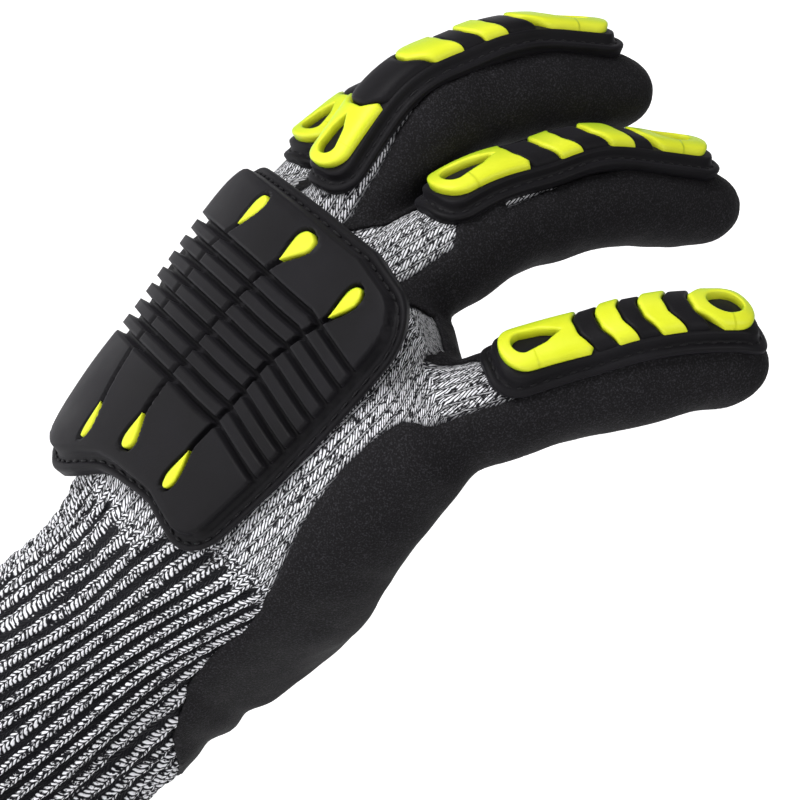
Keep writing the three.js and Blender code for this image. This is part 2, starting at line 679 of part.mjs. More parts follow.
function baseInsert(start, length) {
  const half = INSERT_WIDTH / 2;
  const end = start + length;
  const shape = new THREE.Shape();
  shape.moveTo(half, start - CHEVRON_SWEEP);
  shape.lineTo(half * 0.92, end - half);
  shape.absarc(0, end - half * 0.92, half * 0.92, 0, Math.PI, false);
  shape.lineTo(-half, start - CHEVRON_SWEEP);
  shape.lineTo(-half * CHEVRON_FLAT, start);
  shape.lineTo(half * CHEVRON_FLAT, start);
  const slot = half * 0.29;
  const hole = new THREE.Path();
  hole.moveTo(0, start + length * 0.18);
  hole.quadraticCurveTo(-slot, start + length * 0.4, -slot, end - half * 0.9);
  hole.absarc(0, end - half * 0.9, slot, Math.PI, 0, true);
  hole.quadraticCurveTo(slot, start + length * 0.4, 0, start + length * 0.18);
  shape.holes.push(hole);
  return shape;
}

function guardLayout(guard) {
  const ringEnd = INSERT_INSET + guard.ring;
  const yellow = guard.pitch * INSERT_SHARE;
  const black = guard.pitch - yellow - INSERT_GAP * 2;
  const bars = [0, 1, 2].map((i) => {
    const thick = i === 2 ? black + guard.wideBar : black;
    return { apex: ringEnd + INSERT_GAP + thick + guard.pitch * i, thick };
  });
  const chevrons = [0, 1].map((i) => ringEnd + guard.pitch * (i + 1));
  const baseStart = bars[2].apex + INSERT_GAP;
  return { yellow, bars, chevrons, baseStart, baseLength: guard.pad - INSERT_INSET - baseStart };
}

// Stations along a pad, close together where its ends are rounded
function padStations(length) {
  const ends = [0, 1, CORE_INSET, CORE_INSET + 0.8, 7];
  const between = [1, 2, 3, 4, 5, 6].map((k) => THREE.MathUtils.lerp(7, length - 7, k / 7));
  return [...ends, ...between, ...ends.map((l) => length - l).reverse()];
}

function padForm(finger, guard) {
  const at = padPoint(finger);
  const corners = PAD_SECTION.length;
  return tube(padStations(guard.pad), corners, (along, angle) => {
    const corner = PAD_SECTION[Math.round(((angle + 360) * corners) / 360) % corners];
    const fromEnd = Math.min(along, guard.pad - along);
    const back = Math.max(PAD_CORNER - fromEnd, 0);
    const half = PAD_WIDTH / 2 - PAD_CORNER + Math.sqrt(PAD_CORNER * PAD_CORNER - back * back);
    const height = fromEnd > CORE_INSET + 0.1 ? corner.height : Math.min(corner.height, PAD_THICK);
    return at(corner.share * Math.max(half - corner.inset, half * 0.4), along, height);
  });
}

function fingerGuard(finger, guard) {
  const at = padPoint(finger);
  const layout = guardLayout(guard);
  let body = padForm(finger, guard);
  for (const { apex, thick } of layout.bars) {
    body = body.add(laidOn(chevron(apex, thick, INSERT_WIDTH / 2), CORE_TOP - SUNK, BAR_TOP, 9, at));
  }
  return body;
}

function fingerInserts(name, finger, guard) {
  const at = padPoint(finger);
  const layout = guardLayout(guard);
  const low = CORE_TOP + INSERT_SEAT;
  const shapes = {
    tip_ring: ringInsert(INSERT_INSET, guard.ring),
    chevron_1: chevron(layout.chevrons[0], layout.yellow, INSERT_WIDTH / 2),
    chevron_2: chevron(layout.chevrons[1], layout.yellow, INSERT_WIDTH / 2),
    base_insert: baseInsert(layout.baseStart, layout.baseLength),
  };
  return Object.entries(shapes).map(([part, shape]) => (
    piece(`${name}_${part}`, laidOn(shape, low, INSERT_TOP, 9, at), YELLOW)
  ));
}

const group = new THREE.Group();
group.name = 'impact_work_glove';
group.add(piece('knit_liner', knitLiner(), KNIT));
group.add(piece('cuff_hem', cuffHem(), GREEN));
group.add(piece('palm_coating', palmCoating(), NITRILE));
group.add(piece('back_guard', backGuard(), RUBBER));
DROPS.forEach((drop, i) => {
  group.add(piece(`back_guard_drop_${i + 1}`, guardDrop(drop), YELLOW));
});
for (const [name, guard] of Object.entries(FINGER_GUARDS)) {
  group.add(piece(`${name}_guard`, fingerGuard(FINGERS[name], guard), RUBBER));
  group.add(...fingerInserts(name, FINGERS[name], guard));
}

export default group;
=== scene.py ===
import math

import bmesh
import bpy
import numpy as np
from mathutils import Matrix, Vector, noise


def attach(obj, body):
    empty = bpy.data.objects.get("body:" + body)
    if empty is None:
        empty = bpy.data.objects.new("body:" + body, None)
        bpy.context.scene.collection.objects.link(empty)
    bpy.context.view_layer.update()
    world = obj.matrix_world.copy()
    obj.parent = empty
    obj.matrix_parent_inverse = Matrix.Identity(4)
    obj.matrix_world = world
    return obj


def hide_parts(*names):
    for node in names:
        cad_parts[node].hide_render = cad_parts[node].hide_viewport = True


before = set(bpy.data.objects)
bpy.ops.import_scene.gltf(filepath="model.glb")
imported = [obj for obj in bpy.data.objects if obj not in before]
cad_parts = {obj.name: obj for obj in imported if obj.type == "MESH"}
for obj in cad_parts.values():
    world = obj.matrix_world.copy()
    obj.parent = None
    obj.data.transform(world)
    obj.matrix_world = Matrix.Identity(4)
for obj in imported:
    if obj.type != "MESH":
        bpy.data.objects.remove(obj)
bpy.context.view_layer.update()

# Knit liner, hand part. The real one is a seamless jersey knit of white and black marl yarn, cut
# resistant and about 1.5 mm thick, made in one piece with its fingers on a flat glove machine. It bares
# a strip round the back guard and beside each finger guard.
MM = 0.001
HAND_END = 178
# Stations up the hand, each with its section's centre, half width, and depth to the back and to the palm
S, CENTRE, HALF, BACK, PALM = range(5)
HAND_ROWS = [
    (0, 0, 36.2, 23.3, 38.7),
    (11, 0, 35.5, 22.7, 37.8),
    (33, 0, 33.7, 21.2, 35.3),
    (56, 0, 31.8, 19.6, 32.8),
    (74, 0, 30.9, 18.2, 33.4),
    (90, 0, 35.3, 18.7, 38.4),
    (108, 0, 43.2, 19.8, 35.4),
    (128, 0, 48.6, 20.4, 24.4),
    (146, 0, 51.2, 19.2, 20.2),
    (160, 0, 51.8, 17.8, 17.2),
    (171, -1.5, 48.0, 13.6, 13.0),
    (HAND_END, -3, 40.0, 6.5, 6.5),
]
SECTION_POWER = 2.3
WRIST_BEND = math.radians(11.4)
WRIST_BEND_START = 66.6
WRIST_BEND_LENGTH = 27
KNUCKLE_LEAN_LITTLE = 14
KNUCKLE_LEAN_FIRST = 4
KNUCKLE_LEAN_START = 140
# Each finger's root, its spread, twist and bends in degrees, and its girth at the root, middle and tip
FINGERS = {
    "little": {"x": 34.6, "y": 0.8, "s": 155.7, "spread": 15, "twist": -8, "length": 73,
               "bends": (37, 5, 11), "joints": (0, 32, 52),
               "half": (11.0, 10.6, 9.8), "deep": (10.6, 9.3, 7.6)},
    "ring": {"x": 7.3, "y": -5.7, "s": 161.8, "spread": -10.5, "twist": -4, "length": 103,
             "bends": (33, 17, 17), "joints": (0, 35, 60.5),
             "half": (11.8, 11.3, 10.6), "deep": (11.4, 9.9, 7.9)},
    "middle": {"x": -12.8, "y": -4.1, "s": 158.9, "spread": -12.3, "twist": -9, "length": 103,
               "bends": (6.5, 41, 16), "joints": (0, 42, 67),
               "half": (12.0, 11.5, 10.8), "deep": (11.6, 10.2, 8.1)},
    "index": {"x": -34.5, "y": -1.5, "s": 156, "spread": -17, "twist": -9, "length": 96,
              "bends": (28, 38, 18), "joints": (0, 38, 62),
              "half": (11.8, 11.3, 10.6), "deep": (11.4, 9.9, 7.9)},
    "thumb": {"x": -27.0, "y": 12.0, "s": 98, "spread": -40, "twist": 0, "length": 70,
              "bends": (2, 12, 12), "joints": (0, 32, 54),
              "half": (13.4, 12.6, 11.4), "deep": (13.0, 11.4, 9.0)},
}
FINGER_START = -13
FINGER_ROOT = -11
JOINT_SPREAD = 16
TIP_ROUND = 1.15
FORM_START = 46
FORM_VOXEL = 1.3
HAND_GRID = (96, 70)
FINGER_GRID = (40, 60)
WEB_MIDDLE = 2
WEB_REACH = 9
WEB_GIRTH = 1.35
WEB_PASSES = 12
FORM_PASSES = 3
CUFF_TOP = 99
CUFF_RISE = 12
CUFF_RISE_ANGLE = 36
RIB_COUNT = 44
RIB_TWIST = -0.28
HEM_HEIGHT = 4.2
WALES = RIB_COUNT * 2
COURSE = 1.2
KNIT_WALL = 1.3


def smooth(x, low, high):
    k = np.clip((x - low) / (high - low), 0, 1)
    return k * k * (3 - 2 * k)


# A table column at any station, on a smooth curve through its rows
def column(rows, key, s):
    table = np.array(rows, dtype=float)
    stops = table[:, S]
    values = table[:, key]
    last = len(stops) - 1
    i = np.clip(np.searchsorted(stops, s) - 1, 0, last - 1)
    before = np.maximum(i - 1, 0)
    after = np.minimum(i + 2, last)
    span = stops[i + 1] - stops[i]
    k = np.clip((s - stops[i]) / span, 0, 1)
    slope_in = (values[i + 1] - values[before]) / (stops[i + 1] - stops[before])
    slope_out = (values[after] - values[i]) / (stops[after] - stops[i])
    start = (2 * k**3 - 3 * k**2 + 1) * values[i] + (k**3 - 2 * k**2 + k) * span * slope_in
    return start + (3 * k**2 - 2 * k**3) * values[i + 1] + (k**3 - k**2) * span * slope_out


# The hand's middle line: straight in the cuff, bent back at the wrist
def spine(s):
    radius = WRIST_BEND_LENGTH / WRIST_BEND
    run = np.clip(s - WRIST_BEND_START, 0, WRIST_BEND_LENGTH)
    turn = run / radius
    past = s - WRIST_BEND_START - run
    y = -radius * (1 - np.cos(turn)) - past * np.sin(turn)
    z = WRIST_BEND_START + radius * np.sin(turn) + past * np.cos(turn)
    return y, z, turn


def power(value, exponent):
    return np.sign(value) * np.abs(value) ** exponent


# A point on a hand section: angle 0 at the little finger side, 90 at the back of the hand
def section_point(s, angle, half, back, palm, centre):
    a = np.radians(angle)
    x = centre + half * power(np.cos(a), 2 / SECTION_POWER)
    y = -np.where(np.sin(a) > 0, back, palm) * power(np.sin(a), 2 / SECTION_POWER)
    spine_y, spine_z, turn = spine(s)
    return np.stack([x, spine_y + y * np.cos(turn), spine_z + y * np.sin(turn)], axis=-1)


def knuckle_lean(s, angle):
    side = np.cos(np.radians(angle))
    reach = np.where(side > 0, KNUCKLE_LEAN_LITTLE * side, -KNUCKLE_LEAN_FIRST * side)
    return reach * smooth(s, KNUCKLE_LEAN_START, HAND_END)


def hand_point(s, angle, out):
    sizes = [column(HAND_ROWS, key, s) for key in (HALF, BACK, PALM)]
    half, back, palm = [size + out for size in sizes]
    return section_point(s - knuckle_lean(s, angle), angle, half, back, palm, column(HAND_ROWS, CENTRE, s))


# Station where the cuff's ribs pass into the hand's jersey: higher on the little finger side of the back
def cuff_top(angle):
    away = np.cos(np.radians(angle - CUFF_RISE_ANGLE))
    return CUFF_TOP + CUFF_RISE * smooth(away, 0.75, 0.95)


def turned(axis, degrees):
    return np.array(Matrix.Rotation(math.radians(degrees), 3, axis))


# How far a finger has bent, in degrees, at a length from its root
def bend_at(finger, l):
    bends = zip(finger["bends"], finger["joints"])
    return sum(bend * smooth((l - joint) / JOINT_SPREAD + 0.5, 0, 1) for bend, joint in bends)


# The middle line of a finger, stepped a millimetre at a time from inside the palm to past the tip
def finger_line(finger):
    spine_y, spine_z, turn = spine(finger["s"])
    root = turned("X", math.degrees(turn))
    base = root @ turned("Y", finger["spread"])
    place = root @ np.array([finger["x"], finger["y"], FINGER_START]) + np.array([0, spine_y, spine_z])
    places = []
    turns = []
    for l in np.arange(FINGER_START, finger["length"] + 5):
        places.append(place)
        share = smooth(l, 0, finger["length"] / 2)
        turns.append(base @ turned("X", -bend_at(finger, l)) @ turned("Z", finger["twist"] * share))
        place = place + base @ turned("X", -bend_at(finger, l + 0.5)) @ np.array([0, 0, 1])
    finger["places"] = np.array(places)
    finger["turns"] = np.array(turns)


for finger in FINGERS.values():
    finger_line(finger)


# A point beside a finger's middle line: x across the finger, y toward its palm side
def beside_line(finger, l, x, y):
    at = np.clip(l - FINGER_START, 0, len(finger["places"]) - 1.001)
    i = np.floor(at).astype(int)
    k = (at - i)[..., None]
    place = finger["places"][i] * (1 - k) + finger["places"][i + 1] * k
    turn = finger["turns"][i] * (1 - k[..., None]) + finger["turns"][i + 1] * k[..., None]
    return place + turn[..., :, 0] * x[..., None] + turn[..., :, 1] * y[..., None]


def girth(finger, key, l):
    sizes = finger[key]
    stops = (0, finger["joints"][1], finger["joints"][2], finger["length"])
    return np.interp(l, stops, (sizes[0], (sizes[0] + sizes[1]) / 2, sizes[1], sizes[2]))


# A point on a finger: angle 90 on its back, rounded off at the tip
def finger_point(finger, l, angle, out):
    round_off = finger["half"][2] * TIP_ROUND + out
    past = np.clip((l - finger["length"] - out + round_off) / round_off, 0, 1)
    shrink = np.sqrt(1 - past * past)
    a = np.radians(angle)
    x = (girth(finger, "half", l) + out) * shrink * np.cos(a)
    y = -(girth(finger, "deep", l) + out) * shrink * np.sin(a)
    return beside_line(finger, l, x, y)


# Where points lie on the hand: station, angle and how far out as a share of the section
def on_hand(points):
    radius = WRIST_BEND_LENGTH / WRIST_BEND
    x, y, z = points.T
    angle = np.arctan2(z - WRIST_BEND_START, y + radius)
    run = np.clip(angle, 0, WRIST_BEND) * radius
    spine_y, spine_z, turn = spine(WRIST_BEND_START + run)
    along = -(y - spine_y) * np.sin(turn) + (z - spine_z) * np.cos(turn)
    height = (y - spine_y) * np.cos(turn) + (z - spine_z) * np.sin(turn)
    section = WRIST_BEND_START + run + along
    s = section
    for _ in range(4):
        s = np.clip(s, 0, HAND_END)
        half, back, palm = [column(HAND_ROWS, key, s) for key in (HALF, BACK, PALM)]
        across = power((x - column(HAND_ROWS, CENTRE, s)) / half, SECTION_POWER / 2)
        up = power(-height / np.where(height < 0, back, palm), SECTION_POWER / 2)
        degrees = np.degrees(np.arctan2(up, across))
        s = section + knuckle_lean(s, degrees)
    return s, degrees, np.hypot(across, up) ** (2 / SECTION_POWER)


# Where points lie along one finger, in the same way
def on_finger(finger, points):
    away = points[:, None, :] - finger["places"][None, :, :]
    nearest = np.argmin((away ** 2).sum(axis=2), axis=1)
    turn = finger["turns"][nearest]
    offset = points - finger["places"][nearest]
    local = np.einsum("ni,nij->nj", offset, turn)
    l = nearest + FINGER_START + local[:, 2]
    across = local[:, 0] / girth(finger, "half", l)
    up = -local[:, 1] / girth(finger, "deep", l)
    return l, np.degrees(np.arctan2(up, across)), np.hypot(across, up)


# A grid laid on a surface; place takes shares along its two sides, and a wrapped grid closes on itself
def laid_grid(bm, columns, rows, place, wrapped=True):
    made = bmesh.ops.create_grid(bm, x_segments=columns, y_segments=rows, size=0.5, calc_uvs=True)
    verts = made["verts"]
    shares = np.array([vert.co[:2] for vert in verts]) + 0.5
    points = place(shares[:, 0], shares[:, 1]) * MM
    for vert, point in zip(verts, points):
        vert.co = point
    if wrapped:
        bmesh.ops.remove_doubles(bm, verts=verts, dist=1e-7)


def close_ends(bm):
    open_edges = [edge for edge in bm.edges if len(edge.link_faces) == 1]
    bmesh.ops.holes_fill(bm, edges=open_edges, sides=0)
    bmesh.ops.recalc_face_normals(bm, faces=bm.faces)


def new_object(name, bm):
    mesh = bpy.data.meshes.new(name)
    bm.to_mesh(mesh)
    bm.free()
    made = bpy.data.objects.new(name, mesh)
    bpy.context.scene.collection.objects.link(made)
    mesh.shade_smooth()
    return made


def outward_object(name, bm):
    bmesh.ops.recalc_face_normals(bm, faces=bm.faces)
    return new_object(name, bm)


def points_of(mesh):
    flat = np.empty(len(mesh.vertices) * 3)
    mesh.vertices.foreach_get("co", flat)
    return flat.reshape(-1, 3)


# Noise summed over waves at each point: how many to a millimetre, and how high in millimetres
def wander(points, waves):
    return np.array([sum(noise.noise(Vector(p) * rate) * rise for rate, rise in waves) for p in points])


# Small folds and swells of worn knit, the same on the liner and on the coating that is bonded to it
SWELLS = [(0.055, 0.9), (0.16, 0.35)]
FOLD_SETS = [
    {"at": 60, "angle": -100, "reach": 55, "pitch": 13, "rise": 0.9},
    {"at": 74, "angle": -60, "reach": 40, "pitch": 9, "rise": 0.7},
    {"at": 92, "angle": -130, "reach": 45, "pitch": 11, "rise": 0.6},
]


def soft_relief(points, s, angle):
    relief = wander(points, SWELLS)
    for fold in FOLD_SETS:
        near = np.exp(-((s - fold["at"]) / (fold["pitch"] * 1.3)) ** 2)
        side = np.exp(-((angle - fold["angle"]) / fold["reach"]) ** 2)
        relief += fold["rise"] * near * side * np.cos((s - fold["at"]) * 2 * math.pi / fold["pitch"])
    return relief


def ease(bm, verts, passes):
    for _ in range(passes):
        bmesh.ops.smooth_vert(bm, verts=verts, factor=0.5, use_axis_x=True, use_axis_y=True,
                              use_axis_z=True)


# The whole hand form as one skin: lofts run together by a remesh, then eased where the fingers meet
def glove_form():
    bm = bmesh.new()
    bm.loops.layers.uv.new("weave")
    rise = HAND_END - FORM_START
    laid_grid(bm, *HAND_GRID, lambda u, v: hand_point(FORM_START + v * rise, u * 360 - 180, 0 * u))
    for finger in FINGERS.values():
        end = finger["length"] - FINGER_ROOT

        def place(u, v, finger=finger, end=end):
            l = FINGER_ROOT + end * np.minimum(v * 1.05, 1 - (1 - v) ** 1.6 * 0.35)
            return finger_point(finger, np.minimum(l, finger["length"]), u * 360, 0 * u)

        laid_grid(bm, *FINGER_GRID, place)
    bmesh.ops.remove_doubles(bm, verts=bm.verts, dist=1e-6)
    close_ends(bm)
    form = new_object("glove_form", bm)
    remesh = form.modifiers.new("remesh", "REMESH")
    remesh.mode = "VOXEL"
    remesh.voxel_size = FORM_VOXEL * MM
    depsgraph = bpy.context.evaluated_depsgraph_get()
    mesh = bpy.data.meshes.new_from_object(form.evaluated_get(depsgraph))
    bpy.data.objects.remove(form)
    bm = bmesh.new()
    bm.from_mesh(mesh)
    bpy.data.meshes.remove(mesh)
    points = np.array([vert.co[:] for vert in bm.verts]) / MM
    near = np.zeros(len(points))
    for finger in FINGERS.values():
        l, _, share = on_finger(finger, points)
        near = np.maximum(near, (np.abs(l - WEB_MIDDLE) < WEB_REACH) * (share < WEB_GIRTH))
    webs = [vert for vert, close in zip(bm.verts, near) if close]
    ease(bm, webs, WEB_PASSES)
    ease(bm, bm.verts, FORM_PASSES)
    return bm


# The coating's edge on the little finger side: stations up the hand, and its angle round the section there
COATING_EDGE = [
    (54, -88), (57, -60), (62, -34), (67, -14), (78, 0), (90, 9), (99, 11), (110, 22),
    (124, 33), (134, 37), (144, 38), (156, 36), (163, 31), (170, 15), (177, 0), (184, -12),
]
THUMB_SIDE_EDGE = 0.45
BARE_KNIT_ANGLE = {"little": 40, "ring": 55, "middle": 49, "index": 52}
SLEEVE_START = {"little": -5, "ring": 1, "middle": 1, "index": 1}
BARE_KNIT_SHARE = 0.6
BARE_KNIT_TAPER = 20
RAGGED_EDGE = [(0.45, 0.5), (1.3, 0.3)]
WELL_INSIDE = 12
WELL_OUTSIDE = -50
KNUCKLE_STATION = 125
NEAR_WRIST = 1.7
NEAR_KNUCKLES = 1.25
NEAR_FINGER = 1.3
FINGER_FROM = -9


# How far inside the coating a point lies, in millimetres; negative on bare knit
def coated(points, places):
    s, angle, share = places["hand"]
    edge = column(COATING_EDGE, 1, np.clip(s, COATING_EDGE[0][0], COATING_EDGE[-1][0]))
    per_degree = (column(HAND_ROWS, HALF, s) + 24) * math.pi / 360
    turned_angle = np.where(angle > 90, angle - 360, angle)
    inside = np.minimum(edge - turned_angle, turned_angle + 180 + THUMB_SIDE_EDGE * edge)
    inside = np.minimum(inside * per_degree, s - COATING_EDGE[0][0] + 1)
    near_hand = share < np.where(s < KNUCKLE_STATION, NEAR_WRIST, NEAR_KNUCKLES)
    cover = np.where(near_hand, inside, WELL_OUTSIDE)
    for name, finger in FINGERS.items():
        l, around, finger_share = places[name]
        if name == "thumb":
            sleeve = np.where((l > FINGER_FROM) & (share > 0.97), WELL_INSIDE, WELL_OUTSIDE)
        else:
            taper = smooth(l, 0.2 * finger["length"], BARE_KNIT_SHARE * finger["length"])
            window = BARE_KNIT_ANGLE[name] - BARE_KNIT_TAPER * taper
            sides = (np.abs(around - 90) - window) * girth(finger, "half", l) * math.pi / 180
            sides = np.where(around < -90, WELL_INSIDE, sides)
            past = l - BARE_KNIT_SHARE * finger["length"]
            sleeve = np.minimum(np.maximum(sides, past), l - SLEEVE_START[name])
        on_it = (finger_share < NEAR_FINGER) & (l > FINGER_FROM)
        cover = np.where(on_it, np.maximum(cover, sleeve), cover)
    return cover + wander(points, RAGGED_EDGE)


def locate(points):
    places = {"hand": on_hand(points)}
    for name, finger in FINGERS.items():
        places[name] = on_finger(finger, points)
    return places


# Cuts a mesh along the line where one of its layers passes through zero
def split_at_zero(bm, layer):
    shares = {}
    for edge in bm.edges:
        first, second = [vert[layer] for vert in edge.verts]
        if first * second < 0:
            shares[edge] = first / (first - second)
    made = bmesh.ops.bisect_edges(bm, edges=list(shares), cuts=1, edge_percents=shares)
    cuts = [item for item in made["geom_split"] if isinstance(item, bmesh.types.BMVert)]
    for vert in cuts:
        vert[layer] = 0
    bmesh.ops.connect_verts(bm, verts=cuts)


def keep_inside(bm, layer):
    split_at_zero(bm, layer)
    outside = [face for face in bm.faces if sum(vert[layer] for vert in face.verts) <= 0]
    bmesh.ops.delete(bm, geom=outside, context="FACES")


# The form is moved by its relief, and keeps how far each point lies inside the coating and above the cuff
JERSEY_LAP = 1.6
SOAK_REACH = 1.6
form = glove_form()
form_points = np.array([vert.co[:] for vert in form.verts]) / MM
form_places = locate(form_points)
relief = soft_relief(form_points, form_places["hand"][0], form_places["hand"][1])
form.normal_update()
for vert, rise in zip(form.verts, relief):
    vert.co += vert.normal * rise * MM
cover_layer = form.verts.layers.float.new("cover")
station_layer = form.verts.layers.float.new("station")
soak_layer = form.verts.layers.float.new("soak")
cover = coated(form_points, form_places)
stations = form_places["hand"][0] - cuff_top(form_places["hand"][1]) + JERSEY_LAP
for vert, inside, s in zip(form.verts, cover, stations):
    vert[cover_layer] = inside
    vert[station_layer] = s
    vert[soak_layer] = float(smooth(inside, -SOAK_REACH, 0.2))
form_mesh = bpy.data.meshes.new("form")
form.to_mesh(form_mesh)
form.free()


def linear(hex_colour):
    values = [int(hex_colour[i:i + 2], 16) / 255 for i in (1, 3, 5)]
    return [v / 12.92 if v <= 0.04045 else ((v + 0.055) / 1.055) ** 2.4 for v in values] + [1]


# Adds one node: settings are its properties, inputs are values or the sockets that feed it
def add(tree, kind, inputs, **settings):
    made = tree.nodes.new(kind)
    for name, value in settings.items():
        setattr(made, name, value)
    for name, value in inputs.items():
        if isinstance(value, bpy.types.NodeSocket):
            tree.links.new(value, made.inputs[name])
        else:
            made.inputs[name].default_value = value
    return made


def new_material(name, finish):
    material = bpy.data.materials.new(name)
    material.use_nodes = True
    shader = material.node_tree.nodes["Principled BSDF"]
    for key, value in finish.items():
        shader.inputs[key].default_value = value
    return material, material.node_tree, shader


def feed(tree, shader, sockets):
    for name, socket in sockets.items():
        tree.links.new(socket, shader.inputs[name])


# Marl yarn knitted in jersey: matt polyester and steel yarn, white and black plies twisted together. Each
# wale shows a column of V loops, with painted shade in the black yarn's colour in the gaps between them.
# Wales are about 2.5 mm apart and courses 1.2 mm, coarser than a real one so that it shows. On the hand the
# loops are pulled askew, by the lean attribute.
# Loops wander a little every 4 mm, and the plies' white and black flecks are 0.8 mm long.
LOOP_SWAY = 3.846
YARN_FLECK = 0.8333
YARN_WHITE = linear("#F2F2F7")
# The black plies' colour, used too for the painted shade in the gaps between loops
BLACK_YARN_AND_SHADE = linear("#141419")
LOOP_SLANT = 1.2
LEAN_FOLD = 0.3
LEAN_SLANT = 2.6


